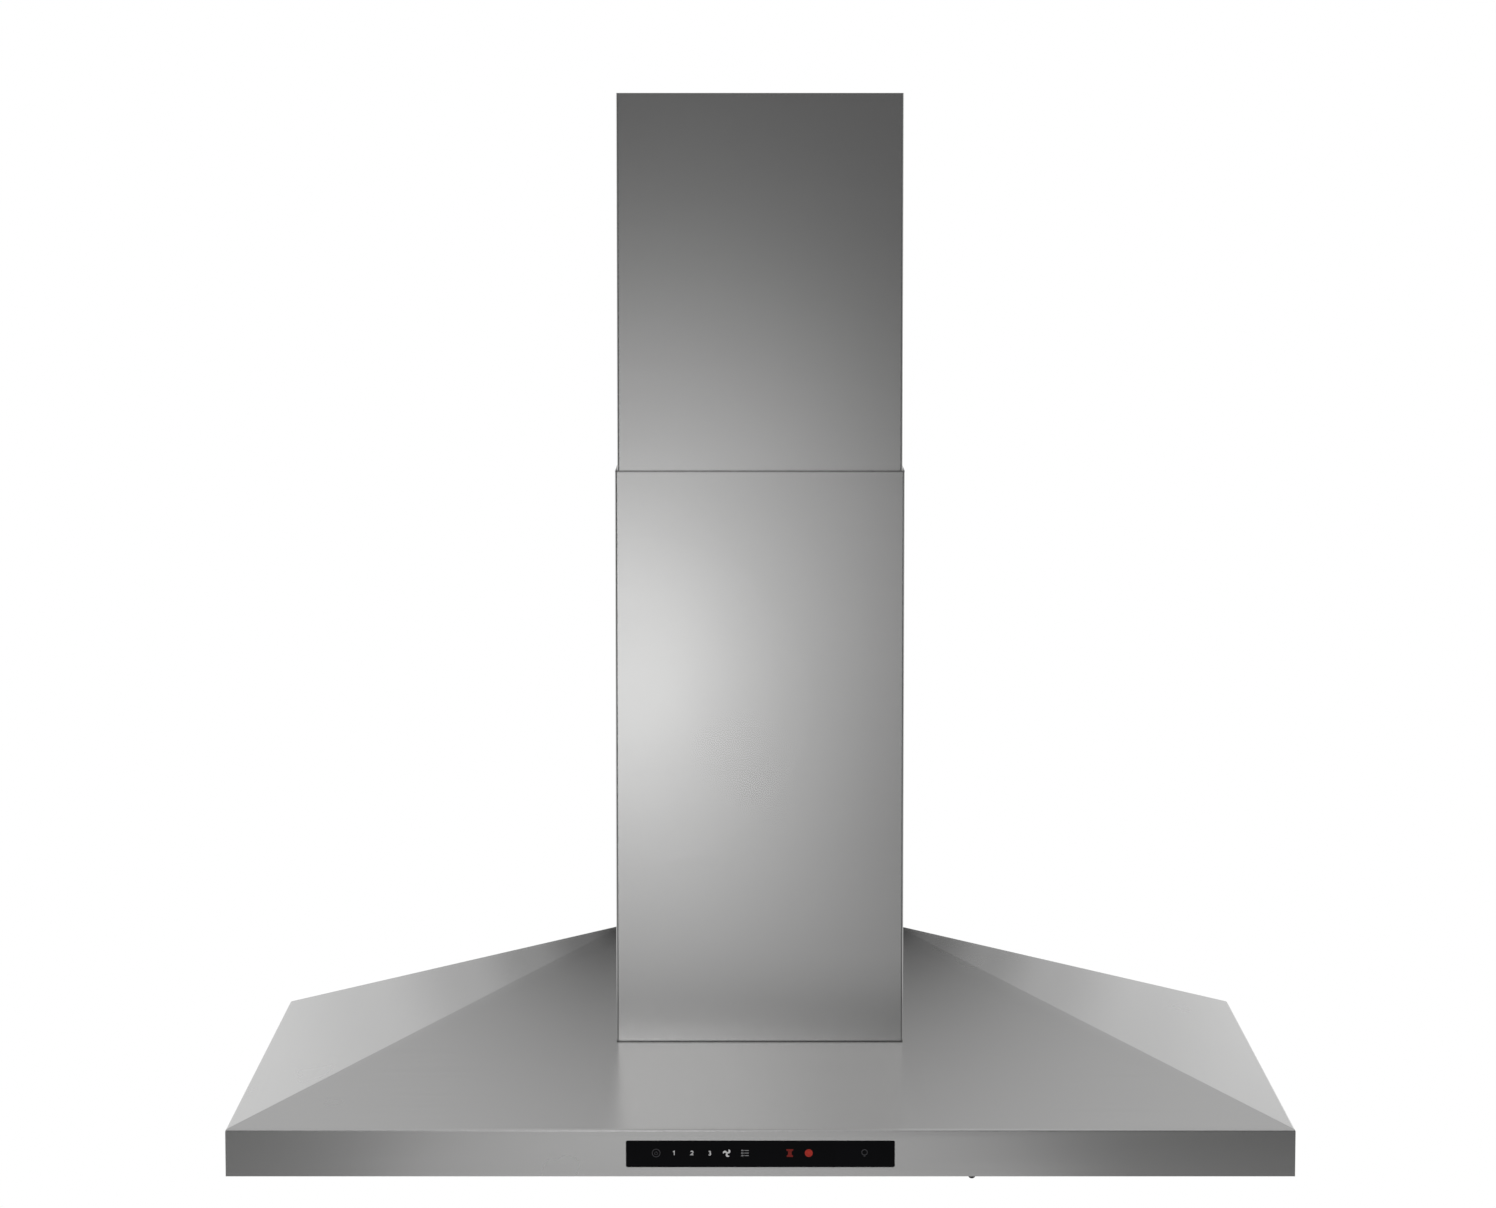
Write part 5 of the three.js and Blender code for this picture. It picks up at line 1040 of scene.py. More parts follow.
# %% Expanded metal
MESH_LAYERS = {  # half a diamond's length and width, the strand's width and thickness, place in height
    "fine": {"half": 6.3, "rise": 3.2, "strand": 1.0, "sheet": 0.45, "lift": 0.9},
    "coarse": {"half": 10.5, "rise": 5.2, "strand": 1.3, "sheet": 0.5, "lift": 3.6},
}
MESH_SIDE_GAP = 0.6  # between the layers and the channel, at either side
MESH_END_GAP = 0.8
POCKET_HALF = 31.5
POCKET_REAR = -363.5  # the latch's pocket reaches from the frame's front edge to here
STRAND_TWIST = 0.3  # how far a strand is turned out of the sheet, as a share of its width


def draw_expanded(builder, width, front, rear, half, rise, strand, sheet):
    """Zigzag strands between front and rear; half is half a diamond's length, rise its width's half."""
    columns = int(width / 2 / half)
    pocket_columns = round(POCKET_HALF / half)
    rows = int((rear - front - rise) / rise)
    for row in range(rows + 1):
        y = front + rise * (row + 0.5)
        wave = [(half * k, y + rise / 2 * (-1) ** (k + row)) for k in range(-columns, columns + 1)]
        if y - rise / 2 < POCKET_REAR:
            cut_at = columns - pocket_columns
            runs = [wave[: cut_at + 1], wave[len(wave) - cut_at - 1 :]]
        else:
            runs = [wave]
        for run in runs:
            add_stroke(builder, run, strand, sheet, tilt=STRAND_TWIST * strand)


print("layers of mesh in a filter:", len(MESH_LAYERS))

# %% Filters
FILTER_NAMES = ("left", "centre", "right")
for name in FILTER_NAMES:
    low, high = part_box(f"{name}_filter_mesh")
    centre_x = (low.x + high.x) / 2
    width = (high.x - low.x) / MM - 2 * MESH_SIDE_GAP
    front = low.y / MM + MESH_END_GAP
    rear = high.y / MM - MESH_END_GAP
    for layer, sizes in MESH_LAYERS.items():
        builder = bmesh.new()
        draw_expanded(
            builder, width, front, rear, sizes["half"], sizes["rise"], sizes["strand"], sizes["sheet"]
        )
        lay_down(builder)
        place = Vector((centre_x, 0, low.z + sizes["lift"] * MM))
        piece = finish_piece(
            builder, f"{name}_mesh_{layer}", aluminium, place, body=f"{name}_filter"
        )
        if layer == "fine":
            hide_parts(f"{name}_filter_mesh")
    print(name, "filter:", len(piece.data.polygons), "faces in the last layer")

# %% Grips of the latches
RIB_COUNT = 4
RIB_PITCH = 1.35
RIB_RADIUS = 0.4
RIB_ROOT = 0.3  # how deep a rib reaches into the latch
RIB_LENGTH = 38.0
LATCH_FACE = -388.0  # y of the latch's front
FIRST_RIB = 1.5  # above the latch's underside


def add_rib(builder, length, y, z, radius):
    """A half-round rib along X that stands on the plane y, towards -Y."""
    angles = [math.radians(a) for a in range(0, 181, 30)]
    ring = [(y - radius * math.sin(a), z + radius * math.cos(a)) for a in angles]
    ring += [(y + RIB_ROOT, z - radius), (y + RIB_ROOT, z + radius)]
    ends = []
    for x in (-length / 2, length / 2):
        ends.append([builder.verts.new((x, a, b)) for a, b in ring])
    for i in range(len(ring)):
        j = (i + 1) % len(ring)
        builder.faces.new((ends[0][i], ends[0][j], ends[1][j], ends[1][i]))
    builder.faces.new(ends[0])
    builder.faces.new(list(reversed(ends[1])))


for name in FILTER_NAMES:
    low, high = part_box(f"{name}_filter_latch")
    centre_x = (low.x + high.x) / 2
    builder = bmesh.new()
    for i in range(RIB_COUNT):
        add_rib(builder, RIB_LENGTH, LATCH_FACE, low.z / MM + FIRST_RIB + RIB_PITCH * i, RIB_RADIUS)
    place = Vector((centre_x, 0, 0))
    finish_piece(
        builder, f"{name}_grip_ribs", grey_plastic, place, body=f"{name}_latch"
    )
print("latches ribbed:", len(FILTER_NAMES))

# %% [markdown]
# A spring of steel wire pushes each latch outwards. Its first and last turns lie flat, as on every bought
# compression spring, and the turns between them are spread evenly. It is swept: a ring of points round the
# wire, carried along the helix.

# %% Latch springs
SPRING_WIRE = 0.45  # radius of the wire
SPRING_TURNS = 5
SPRING_FLAT_TURNS = 0.75  # at each end
SPRING_STEPS = 32  # for each turn
SPRING_SIDES = 12


def latch_spring(length, radius):
    """A compression spring along Y from y = 0 to y = length; radius is the outer one."""
    made = bmesh.new()
    closed = 2 * SPRING_WIRE * SPRING_FLAT_TURNS
    spread_turns = SPRING_TURNS - 2 * SPRING_FLAT_TURNS
    pitch = (length - 2 * SPRING_WIRE - 2 * closed) / spread_turns
    rings = []
    for i in range(SPRING_TURNS * SPRING_STEPS + 1):
        turn = i / SPRING_STEPS
        first = min(turn, SPRING_FLAT_TURNS)
        last = max(0.0, turn - SPRING_TURNS + SPRING_FLAT_TURNS)
        y = SPRING_WIRE + 2 * SPRING_WIRE * (first + last) + pitch * (turn - first - last)
        ring = []
        for k in range(SPRING_SIDES):
            side = 2 * math.pi * k / SPRING_SIDES
            reach = radius - SPRING_WIRE + SPRING_WIRE * math.cos(side)
            angle = 2 * math.pi * turn
            point = (reach * math.cos(angle), y + SPRING_WIRE * math.sin(side), reach * math.sin(angle))
            ring.append(made.verts.new(point))
        rings.append(ring)
    for one, two in zip(rings, rings[1:]):
        for k in range(SPRING_SIDES):
            j = (k + 1) % SPRING_SIDES
            made.faces.new((one[k], one[j], two[j], two[k]))
    made.faces.new(rings[0])
    made.faces.new(list(reversed(rings[-1])))
    return made


for name in FILTER_NAMES:
    low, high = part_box(f"{name}_latch_spring")
    length = (high.y - low.y) / MM
    place = Vector(((low.x + high.x) / 2, low.y, (low.z + high.z) / 2))
    wound = latch_spring(length, (high.x - low.x) / 2 / MM)
    spring = finish_piece(wound, f"{name}_latch_coil", zinc, place, body=f"{name}_filter")
    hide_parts(f"{name}_latch_spring")
    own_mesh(spring)
print("latch springs:", round(length, 1), "mm long at rest")

# %% [markdown]
# ## Lamps and receiver
# Two round lamps light the hob. Each has a turned ring with a small step, and a lens of milky
# plastic, domed by a millimetre. Both are turned shapes, so one profile and one turn of the lathe
# make them, with enough steps that the round looks round. The receiver for the remote control is a
# dark dome which hangs a few millimetres under the rim.

# %% Finish of the lamp rings
def satin_nickel():
    """Darker than the steel round it, so that the ring stands out as a part of its own."""
    material, tree, shader = new_finish("satin_nickel", (0.4, 0.39, 0.37), 1.0, 0.24)
    cloud = noise(tree, own_place(tree), 60.0)
    nickel = grey(tree, spread(tree, cloud, 0.3, 0.38), (1.02, 1.0, 0.97))
    tree.links.new(nickel, shader.inputs["Base Color"])
    tree.links.new(spread(tree, cloud, 0.2, 0.3), shader.inputs["Roughness"])
    return material


ring_metal = satin_nickel()
print("lamp rings in", ring_metal.name)

# %% Lamps
TRAY_UNDERSIDE = -56.0
LAMP_RING = [  # radius, height above the tray's underside
    (24.5, 0.6), (24.5, -1.6), (25.6, -1.8), (27.0, -1.25), (31.2, -1.2), (32.4, -0.9), (32.9, -0.35),
    (28.0, -0.32), (28.0, 15.9), (12.0, 16.0), (10.0, 12.8), (22.0, 0.7),
]
LENS_RADIUS = 23.9
LENS_BACK = 0.1
LENS_EDGE = -1.3
LENS_DOME = 1.05  # how far the lens bulges


def make_lamp(side):
    """One lamp's ring and its lens."""
    low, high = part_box(f"lamp_bezel_{side}")
    middle = (low + high) / 2
    place = Vector((middle.x, middle.y, TRAY_UNDERSIDE * MM))
    builder = bmesh.new()
    add_turned(builder, soften(LAMP_RING + LAMP_RING[:1], 0.35, 2)[:-1], 96)
    ring = finish_piece(builder, f"lamp_ring_{side}", ring_metal, place)
    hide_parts(f"lamp_bezel_{side}")
    builder = bmesh.new()
    angles = [math.radians(9 * i) for i in range(1, 10)]
    dome = [(0, LENS_BACK), (LENS_RADIUS, LENS_BACK), (LENS_RADIUS, LENS_EDGE)]
    dome += [(LENS_RADIUS * math.cos(a), LENS_EDGE - LENS_DOME * math.sin(a)) for a in angles]
    dome.append((0, LENS_EDGE - LENS_DOME - 0.01))
    add_turned(builder, dome, 96, closed=False)
    lens = finish_piece(builder, f"lamp_glass_{side}", lens_frost, place)
    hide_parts(f"lamp_lens_{side}")


for side in ("left", "right"):
    make_lamp(side)
print("lamps: 2, lenses of", 2 * LENS_RADIUS, "mm")

# %% Receiver
RIM_UNDERSIDE = -70.0
DOME_RADIUS = 3.0
DOME_DROP = 2.35
DOME_EDGE = -1.6
receiver_low, receiver_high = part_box("infrared_receiver")
receiver_middle = (receiver_low + receiver_high) / 2
dome_profile = [(0, DOME_EDGE - DOME_DROP)]
for degrees in range(12, 91, 13):
    angle = math.radians(degrees)
    dome_profile.append((DOME_RADIUS * math.sin(angle), DOME_EDGE - DOME_DROP * math.cos(angle)))
dome_profile += [(DOME_RADIUS, DOME_EDGE), (DOME_RADIUS, 1.3), (4.9, 1.4), (4.9, 3.2), (0, 3.2)]
builder = bmesh.new()
add_turned(builder, dome_profile, 48, closed=False)
dome_place = Vector((receiver_middle.x, receiver_middle.y, RIM_UNDERSIDE * MM))
dome = finish_piece(builder, "receiver_dome", black_plastic, dome_place)
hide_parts("infrared_receiver")
print("receiver dome", round(receiver_middle.x / MM), "mm right of the centre")

# %% [markdown]
# ## Screws
# The covers, the tray and many parts inside are held by pan-head screws with a cross recess. A screw
# head is a turned shape, but its recess isn't, so we cut the cross out of the turned head with a
# boolean, once a size, and then place copies of that mesh. Copies cost nothing to make and are all
# alike, as real screws are. Each head is turned by a seeded random angle, which keeps them from
# looking stamped.

# %% Cutting one mesh out of another
def cut_mesh(body_mesh, cutter_mesh):
    """The first mesh with the second taken away, as a new mesh."""
    body_object = bpy.data.objects.new("to_cut", body_mesh)
    cutter_object = bpy.data.objects.new("cutter", cutter_mesh)
    for item in (body_object, cutter_object):
        scene.collection.objects.link(item)
    step = body_object.modifiers.new("cut", "BOOLEAN")
    step.operation = "DIFFERENCE"
    step.solver = "EXACT"
    step.object = cutter_object
    bpy.context.view_layer.update()
    cut_object = body_object.evaluated_get(bpy.context.evaluated_depsgraph_get())
    result = bpy.data.meshes.new_from_object(cut_object)
    for item in (body_object, cutter_object):
        bpy.data.objects.remove(item)
    return result


print("the cutter is ready")

# %% The pan head and its cross recess
HEAD_RADIUS = 3.8
HEAD_HEIGHT = 2.0
CROSS_WIDTH = 0.85
CROSS_REACH = 2.1
CROSS_DEPTH = 1.3
CROSS_TAPER = 0.45  # the cross at its floor, as a share of its mouth
THREAD_RADIUS = 1.9
THREAD_PITCH = 1.2
THREAD_DEPTH = 0.45


def pan_head(scale, shank):
    """A screw head from z = 0 to HEAD_HEIGHT times the scale, with a threaded shank below z = 0."""
    builder = bmesh.new()
    dome = [(0, HEAD_HEIGHT), (1.6, 1.95), (2.7, 1.7), (3.4, 1.2), (HEAD_RADIUS, 0.55), (HEAD_RADIUS, 0.0)]
    thread = [(THREAD_RADIUS, 0.0)]
    turns = int(shank / THREAD_PITCH)
    for turn in range(turns):
        top = -THREAD_PITCH * turn
        thread.append((THREAD_RADIUS - THREAD_DEPTH, top - 0.5 * THREAD_PITCH))
        thread.append((THREAD_RADIUS, top - THREAD_PITCH))
    profile = dome + thread + [(0, -shank)]
    add_turned(builder, [(scale * r, scale * z) for r, z in profile], 40, closed=False)
    bmesh.ops.recalc_face_normals(builder, faces=builder.faces)
    head = bpy.data.meshes.new("pan_head")
    builder.to_mesh(head)
    builder.free()
    cutter = bmesh.new()
    reach = scale * CROSS_REACH
    half = scale * CROSS_WIDTH / 2
    floor = scale * (HEAD_HEIGHT - CROSS_DEPTH)
    top = 3 * scale
    outline = [
        (reach, -half), (reach, half), (half, half), (half, reach), (-half, reach), (-half, half),
        (-reach, half), (-reach, -half), (-half, -half), (-half, -reach), (half, -reach), (half, -half),
    ]
    upper = [cutter.verts.new((x, y, top)) for x, y in outline]
    lower = [cutter.verts.new((CROSS_TAPER * x, CROSS_TAPER * y, floor)) for x, y in outline]
    cutter.faces.new(upper)
    cutter.faces.new(list(reversed(lower)))
    for i in range(len(outline)):
        j = (i + 1) % len(outline)
        cutter.faces.new((upper[j], upper[i], lower[i], lower[j]))
    bmesh.ops.recalc_face_normals(cutter, faces=cutter.faces)
    cross = bpy.data.meshes.new("cross_recess")
    cutter.to_mesh(cross)
    cutter.free()
    return cut_mesh(head, cross)


cover_screw = pan_head(1.0, 6.0)
small_screw = pan_head(0.62, 4.0)
print("screw head:", len(cover_screw.polygons), "faces")

# %% Copies of a mesh
SCREW_TURNS = random.Random(7)


def add_copies(mesh, places, turn, spin):
    """One builder with copies of a mesh at places in millimetres, each turned about its own axis."""
    builder = bmesh.new()
    for place in places:
        copy = mesh.copy()
        angle = SCREW_TURNS.uniform(0, math.pi / 2) if spin else 0.0
        copy.transform(Matrix.Translation(place) @ turn.to_4x4() @ Matrix.Rotation(angle, 4, "Z"))
        builder.from_mesh(copy)
        bpy.data.meshes.remove(copy)
    return builder


print("screws are turned by a seeded random angle")

# %% Screws of the chimney covers
SCREW_SIDES = {"left": (TURN_BACK_X, -1), "right": (TURN_X, 1)}

for screw_kind in ("chimney_screw", "bracket_screw"):
    for side_name, (screw_turn, side) in SCREW_SIDES.items():
        low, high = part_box(f"{screw_kind}_{side_name}")
        head_x = (high.x if side > 0 else low.x) / MM - side * HEAD_HEIGHT
        place = Vector((head_x, (low.y + high.y) / 2 / MM, (low.z + high.z) / 2 / MM))
        builder = add_copies(cover_screw, [place], screw_turn, spin=True)
        cover = "upper_chimney" if screw_kind == "bracket_screw" else "root"
        piece = finish_piece(builder, f"{screw_kind}_head_{side_name}", zinc, body=cover)
        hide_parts(f"{screw_kind}_{side_name}")
print("cover screws with a cross recess: 4")

# %% [markdown]
# ## The outlet
# The air leaves through a moulded collar for a 150 mm duct. It is a turned shape again: a flange, a
# wall with a bead that the duct's clip snaps behind, a thin lead-in at the top, and a ledge inside on
# which the closed flaps rest. Four small screws hold the flange. The two flaps are moulded as thin as
# they can be and are stiffened by ribs, so that they swing easily and still close flat.

# %% Collar
COLLAR_BORE = 73.0
DUCT_RADIUS = 75.0
FLANGE_RADIUS = 88.0
LEDGE_RADIUS = 69.5
FLANGE_THICKNESS = 2.5
COLLAR_HEIGHT = 49.7
BEAD = 1.2
FILLET = 2.5  # the slope between the flange and the wall
FLANGE_SCREW_RADIUS = 82.0

collar_low, collar_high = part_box("outlet_collar")
collar_middle = (collar_low + collar_high) / 2
collar_place = Vector((collar_middle.x, collar_middle.y, collar_low.z))
collar_profile = [
    (LEDGE_RADIUS, 0.0), (FLANGE_RADIUS, 0.0), (FLANGE_RADIUS, FLANGE_THICKNESS),
    (DUCT_RADIUS + FILLET, FLANGE_THICKNESS), (DUCT_RADIUS, FLANGE_THICKNESS + FILLET),
    (DUCT_RADIUS, 37.2), (DUCT_RADIUS + BEAD, 38.6), (DUCT_RADIUS + BEAD, 40.2), (DUCT_RADIUS, 41.6),
    (DUCT_RADIUS - 0.6, COLLAR_HEIGHT), (COLLAR_BORE, COLLAR_HEIGHT),
    (COLLAR_BORE, FLANGE_THICKNESS), (LEDGE_RADIUS, FLANGE_THICKNESS),
]
builder = bmesh.new()
add_turned(builder, soften(collar_profile + collar_profile[:1], 0.7, 3)[:-1], 128)
collar = finish_piece(builder, "duct_collar", black_plastic, collar_place)
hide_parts("outlet_collar")


def round_places(radius, count, height, start=45.0):
    """Places evenly round the Z axis, in millimetres."""
    angles = [math.radians(start + 360.0 * i / count) for i in range(count)]
    return [Vector((radius * math.cos(a), radius * math.sin(a), height)) for a in angles]


flange_places = round_places(FLANGE_SCREW_RADIUS, 4, FLANGE_THICKNESS)
builder = add_copies(small_screw, flange_places, UPRIGHT, spin=True)
finish_piece(builder, "collar_screws", zinc, collar_place)
print("collar", 2 * DUCT_RADIUS, "mm, screws:", len(flange_places))

# %% Ribs on the flaps
RIB_WIDTH = 1.2
RIB_HEIGHT = 1.4
RIB_SPACING = 24.0
RIB_START = 10.5  # from the collar's middle line
RIM_RADIUS = 67.5
FLAP_SHEET = 1.5


def flap_ribs(side):
    """Straight ribs across the flap and one along its rim, as strokes drawn in plan."""
    made = bmesh.new()
    for step in (-2, -1, 0, 1, 2):
        x = RIB_SPACING * step
        end = math.sqrt(RIM_RADIUS**2 - x**2)
        add_stroke(made, [(x, side * RIB_START), (x, side * end)], RIB_WIDTH, RIB_HEIGHT)
    start = math.degrees(math.asin(RIB_START / RIM_RADIUS))
    rim = [(x, side * y) for x, y in arc((0, 0), RIM_RADIUS, start, 180 - start, 40)]
    add_stroke(made, rim, RIB_WIDTH, RIB_HEIGHT)
    lay_down(made)
    return made


for flap_name, flap_side in (("rear", 1), ("front", -1)):
    flap_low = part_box(f"damper_flap_{flap_name}")[0]
    ribs_place = Vector((collar_place.x, collar_place.y, flap_low.z + FLAP_SHEET * MM))
    finish_piece(
        flap_ribs(flap_side), f"flap_ribs_{flap_name}", grey_plastic, ribs_place,
        body=f"flap_{flap_name}",
    )
print("flaps ribbed")

# %% [markdown]
# ## Blower casing and electronics
# The suction box is folded from zinc-coated sheet and riveted along its corners. A blind rivet
# leaves a low dome with a small hole, where its pin broke off. The case of the electronics is moulded,
# with a shallow raised field on the lid, and screws in its corners. The inlet for the mains lead is a
# gland: a hexagon that a spanner fits, and a ribbed cap that is turned by hand to grip the lead.

# %% Rivets of the suction box
RIVET_PROFILE = [
    (0, 0.15), (0.8, 0.15), (0.95, 0.85), (1.5, 0.95), (2.3, 0.6), (2.6, 0.12), (2.6, -0.2), (0, -0.2),
]
RIVET_HEIGHTS = (40.0, 105.0, 170.0, 235.0, 295.0)
RIVET_INSET = 8.0
BOX_FLANGE = 6.0


def turned_mesh(name, profile, segments):
    """A lathe shape whose profile ends on the axis, as a mesh to copy from."""
    made = bmesh.new()
    add_turned(made, profile, segments, closed=False)
    bmesh.ops.recalc_face_normals(made, faces=made.faces)
    mesh = bpy.data.meshes.new(name)
    made.to_mesh(mesh)
    made.free()
    return mesh


rivet = turned_mesh("blind_rivet", RIVET_PROFILE, 28)
box_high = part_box("suction_box")[1]
rivet_x = box_high.x / MM - BOX_FLANGE - RIVET_INSET
rear_y = box_high.y / MM - BOX_FLANGE
rivet_places = [Vector((side * rivet_x, rear_y, z)) for side in (-1, 1) for z in RIVET_HEIGHTS]
builder = add_copies(rivet, rivet_places, TURN_TO_BACK, spin=False)
finish_piece(builder, "casing_rivets", aluminium)
print("rivets on the casing:", len(rivet_places))

# %% Electronics lid
LID_FIELD = 0.5
LID_MARGINS = (30.0, 26.0)  # what the lid is longer and wider than its field
LID_CORNER = 5.0
LID_SCREW_INSET = 7.0
lid_low, lid_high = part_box("electronics_lid")
lid_middle = Vector(((lid_low.x + lid_high.x) / 2, (lid_low.y + lid_high.y) / 2, lid_high.z))
lid_size = ((lid_high.x - lid_low.x) / MM, (lid_high.y - lid_low.y) / MM)
builder = bmesh.new()
field = rounded_rectangle(lid_size[0] - LID_MARGINS[0], lid_size[1] - LID_MARGINS[1], LID_CORNER, 6)
add_plate(builder, field, LID_FIELD + 0.2, -LID_FIELD)
finish_piece(builder, "lid_field", white_plastic, lid_middle, TURN_TO_BACK, bevel=0.4)
corners = [
    Vector((sx * (lid_size[0] / 2 - LID_SCREW_INSET), sy * (lid_size[1] / 2 - LID_SCREW_INSET), 0.0))
    for sx in (-1, 1) for sy in (-1, 1)
]
builder = add_copies(small_screw, corners, UPRIGHT, spin=True)
finish_piece(builder, "lid_screws", zinc, lid_middle)
print("lid", [round(v) for v in lid_size], "mm, screws:", len(corners))

# %% Cable gland
GLAND_HEX = 8.9  # corner radius of the hexagon
GLAND_NUT = 8.0
GLAND_CAP = 7.4
GLAND_RIBS = 18
GLAND_BORE = 4.0
GLAND_REACH = 12.0  # from the case to the gland's mouth


def cable_gland():
    """Hexagon, ribbed cap with a rounded mouth, and the nut inside the case; axis along Z, out at +Z."""
    made = bmesh.new()
    for start, end, radius in ((0.3, 4.6, GLAND_HEX), (-4.4, -1.9, GLAND_NUT)):
        angles = [math.radians(60 * i) for i in range(6)]
        rings = []
        for z in (start, end):
            outer = [made.verts.new((radius * math.cos(a), radius * math.sin(a), z)) for a in angles]
            inner = [made.verts.new((GLAND_BORE * math.cos(a), GLAND_BORE * math.sin(a), z)) for a in angles]
            rings.append((outer, inner))
        (low_outer, low_inner), (top_outer, top_inner) = rings
        for i in range(6):
            j = (i + 1) % 6
            made.faces.new((low_outer[i], low_outer[j], top_outer[j], top_outer[i]))
            made.faces.new((low_inner[j], low_inner[i], top_inner[i], top_inner[j]))
            made.faces.new((top_outer[i], top_outer[j], top_inner[j], top_inner[i]))
            made.faces.new((low_outer[j], low_outer[i], low_inner[i], low_inner[j]))
    cap = [(GLAND_BORE, 4.5), (GLAND_CAP, 4.5), (GLAND_CAP, 9.6)]
    cap += [(6.4, 11.3), (5.0, 11.9), (GLAND_BORE, 11.9)]
    add_turned(made, soften(cap + cap[:1], 0.8, 3)[:-1], 48)
    for i in range(GLAND_RIBS):
        angle = 2 * math.pi * i / GLAND_RIBS
        before = len(made.verts)
        add_block(made, (GLAND_CAP - 0.3, -0.5, 4.9), (GLAND_CAP + 0.45, 0.5, 9.4))
        made.verts.ensure_lookup_table()
        for vert in made.verts[before:]:
            vert.co = Matrix.Rotation(angle, 3, "Z") @ vert.co
    sleeve = [(GLAND_BORE, -7.4), (6.2, -7.4), (6.2, 0.35), (GLAND_BORE, 0.35)]
    add_turned(made, sleeve, 36)
    return made


gland_low, gland_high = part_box("cable_gland")
gland_middle = (gland_low + gland_high) / 2
gland_place = Vector((gland_high.x - GLAND_REACH * MM, gland_middle.y, gland_middle.z))
gland = finish_piece(cable_gland(), "mains_gland", black_plastic, gland_place, TURN_X)
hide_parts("cable_gland")
print("gland at x", round(gland_place.x / MM, 1), "mm")

# %% [markdown]
# ## The underside
# Whoever cooks looks up at the tray. It is held by six screws near its ends. The frames of the
# filters are made from one strip of aluminium channel that is notched and folded into a rectangle, so
# every corner shows a fine seam at 45 degrees, and one small rivet closes the strip. The seams are
# drawn as very thin dark strokes, because all that shows of such a seam is the shadow in it.

# %% Screws of the tray
TRAY_SCREW_INSET = 14.5
TRAY_SCREW_Y = (-60.0, -250.0, -440.0)
tray_screw_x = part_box("underside_tray")[1].x / MM - TRAY_SCREW_INSET
tray_places = [
    Vector((side * tray_screw_x, y, TRAY_UNDERSIDE)) for side in (-1, 1) for y in TRAY_SCREW_Y
]
builder = add_copies(cover_screw, tray_places, TURN_DOWN, spin=True)
finish_piece(builder, "tray_screws", zinc)
print("tray screws:", len(tray_places))

# %% Seams of the filter frames
SEAM_WIDTH = 0.45
SEAM_LIFT = 0.06
SEAM_INSET = 0.4
FRAME_RAIL = 14.0
FRAME_LENGTH = 318.0
FRAME_RIVET = 24.0  # from the frame's rear edge
frame_seam = moulded("frame_seam", (0.05, 0.05, 0.052), 0.6)
for name in FILTER_NAMES:
    low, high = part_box(f"{name}_filter_frame")
    middle_x = (low.x + high.x) / 2 / MM
    half = (high.x - low.x) / 2 / MM
    front_edge = low.y / MM
    rear_edge = front_edge + FRAME_LENGTH
    builder = bmesh.new()
    for sx in (-1, 1):
        for edge, inward in ((front_edge, 1), (rear_edge, -1)):
            start = (sx * (half - SEAM_INSET), edge + inward * SEAM_INSET)
            end = (sx * (half - FRAME_RAIL), edge + inward * FRAME_RAIL)
            add_stroke(builder, [start, end], SEAM_WIDTH, SEAM_LIFT + 0.1)
    lay_down(builder)
    seam_place = Vector((middle_x, 0, low.z / MM - SEAM_LIFT)) * MM
    finish_piece(
        builder, f"{name}_frame_seams", frame_seam, seam_place, body=f"{name}_filter"
    )
    rivet_place = Vector((middle_x + half - FRAME_RAIL / 2, rear_edge - FRAME_RIVET, low.z / MM))
    builder = add_copies(rivet, [rivet_place], TURN_DOWN, spin=False)
    finish_piece(builder, f"{name}_frame_rivet", aluminium, body=f"{name}_filter")
print("filter frames seamed:", len(FILTER_NAMES))

# %% [markdown]
# ## The blower
# The motor and the fan's inlets show when a filter hangs open. The motor's case is pressed from two
# cups of steel that meet at a seam, and its ends are stiffened by a raised ring. The inlets are bells:
# their rounded lips lead the air into the fan, and a coarse facet there would show at once. All are
# turned shapes, so the lathe makes them with many steps. Rivets hold the bells, and three longer
# screws hold the motor's carrier through its rubber bushes.

# %% Motor case
MOTOR_BORE = 4.3
fan_low, fan_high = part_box("impeller")
blower_middle = (fan_low + fan_high) / 2
motor_low, motor_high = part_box("motor_case")
motor_front = (blower_middle.x - motor_high.x) / MM
motor_rear = (blower_middle.x - motor_low.x) / MM
motor_profile = [
    (0, 40.3), (MOTOR_BORE, 40.3), (MOTOR_BORE, motor_front), (12.0, motor_front),
    (14.0, 16.0), (30.0, 16.0), (34.0, 14.4), (38.5, 15.5), (42.0, 20.0),
    (42.0, 40.6), (41.0, 41.2), (41.0, 42.2), (42.0, 42.8),
    (42.0, 64.0), (38.5, 68.6), (34.0, 69.7), (20.0, 69.7), (20.0, motor_rear), (0, motor_rear),
]
builder = bmesh.new()
add_turned(builder, soften(motor_profile, 0.8, 3), 96, closed=False)
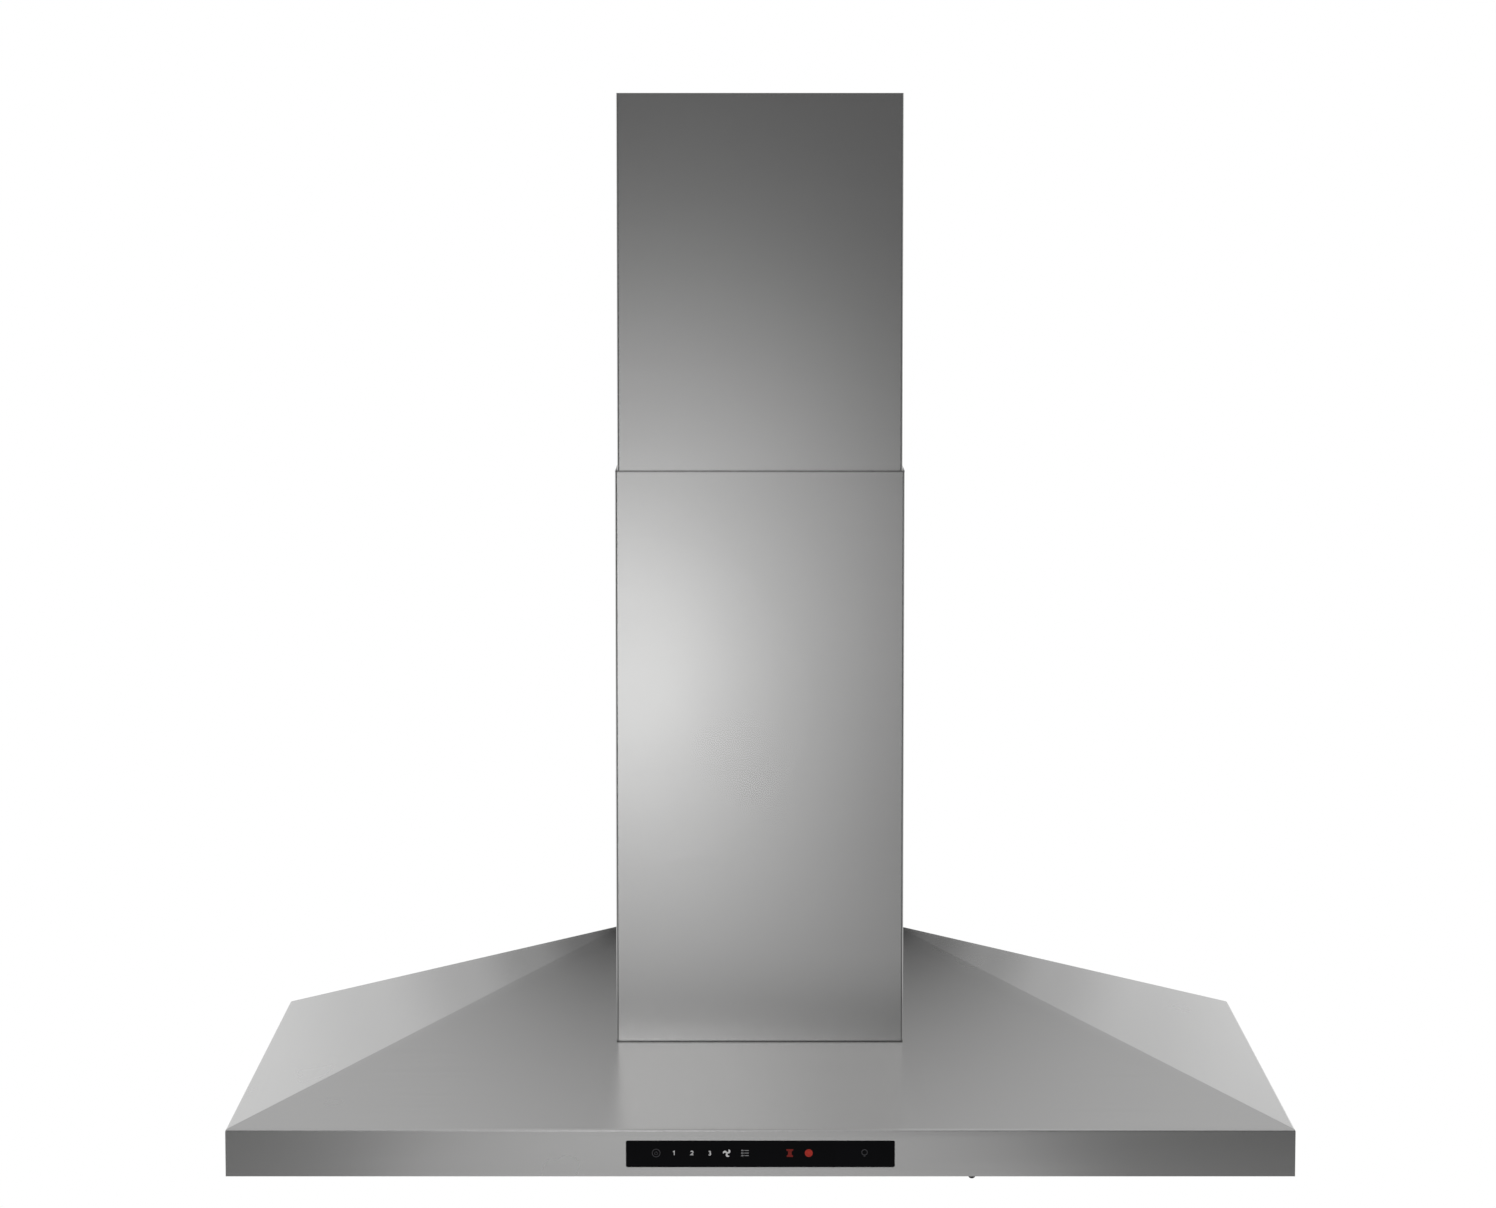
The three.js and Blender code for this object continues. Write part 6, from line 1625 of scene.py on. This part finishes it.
motor = finish_piece(builder, "motor_can", galvanised, blower_middle, TURN_BACK_X)
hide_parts("motor_case")
print("motor", round(motor_rear - motor_front, 1), "mm long with its boss")

# %% Inlet bells and their rivets
BELL_RADIUS = 9.0
BELL_SHEET = 1.2
BELL_THROAT = 66.0
BELL_FLANGE = 6.0
BELL_RIVETS = 6
BELL_RIVET_CIRCLE = 78.4
bell_centre = BELL_THROAT + BELL_RADIUS
bell_face = (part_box("inlet_ring_right")[0].x - blower_middle.x) / MM
bell_inner = BELL_RADIUS - BELL_SHEET
flange_angle = math.degrees(math.asin(BELL_SHEET / bell_inner))
bell_profile = arc((bell_centre, bell_face), BELL_RADIUS, 180, 90, 14)
bell_profile += arc((bell_centre, bell_face), bell_inner, 90, 180 - flange_angle, 12)
flange_edge = bell_centre + BELL_FLANGE
bell_profile += [(flange_edge, bell_face + BELL_SHEET), (flange_edge, bell_face)]
for side_name, bell_turn in (("left", TURN_BACK_X), ("right", TURN_X)):
    builder = bmesh.new()
    add_turned(builder, bell_profile, 120)
    bell = finish_piece(
        builder, f"inlet_bell_{side_name}", galvanised, blower_middle, bell_turn
    )
    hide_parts(f"inlet_ring_{side_name}")
    rivet_places = round_places(BELL_RIVET_CIRCLE, BELL_RIVETS, bell_face + BELL_SHEET, start=0.0)
    builder = add_copies(rivet, rivet_places, UPRIGHT, spin=False)
    finish_piece(builder, f"bell_rivets_{side_name}", aluminium, blower_middle, bell_turn)
print("inlet bells:", len(bell_profile), "points in the profile")

# %% Screws of the motor's carrier
CARRIER_ARMS = 3
carrier_screw = pan_head(0.95, 12.0)
carrier_face = (blower_middle.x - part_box("motor_spider")[0].x) / MM
screw_places = []
for arm in range(CARRIER_ARMS):
    low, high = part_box(f"motor_bush_{arm + 1}")
    middle = (low + high) / 2
    screw_places.append(Vector((blower_middle.x / MM - carrier_face, middle.y / MM, middle.z / MM)))
builder = add_copies(carrier_screw, screw_places, TURN_BACK_X, spin=True)
finish_piece(builder, "carrier_screws", zinc)
print("carrier screws:", len(screw_places))
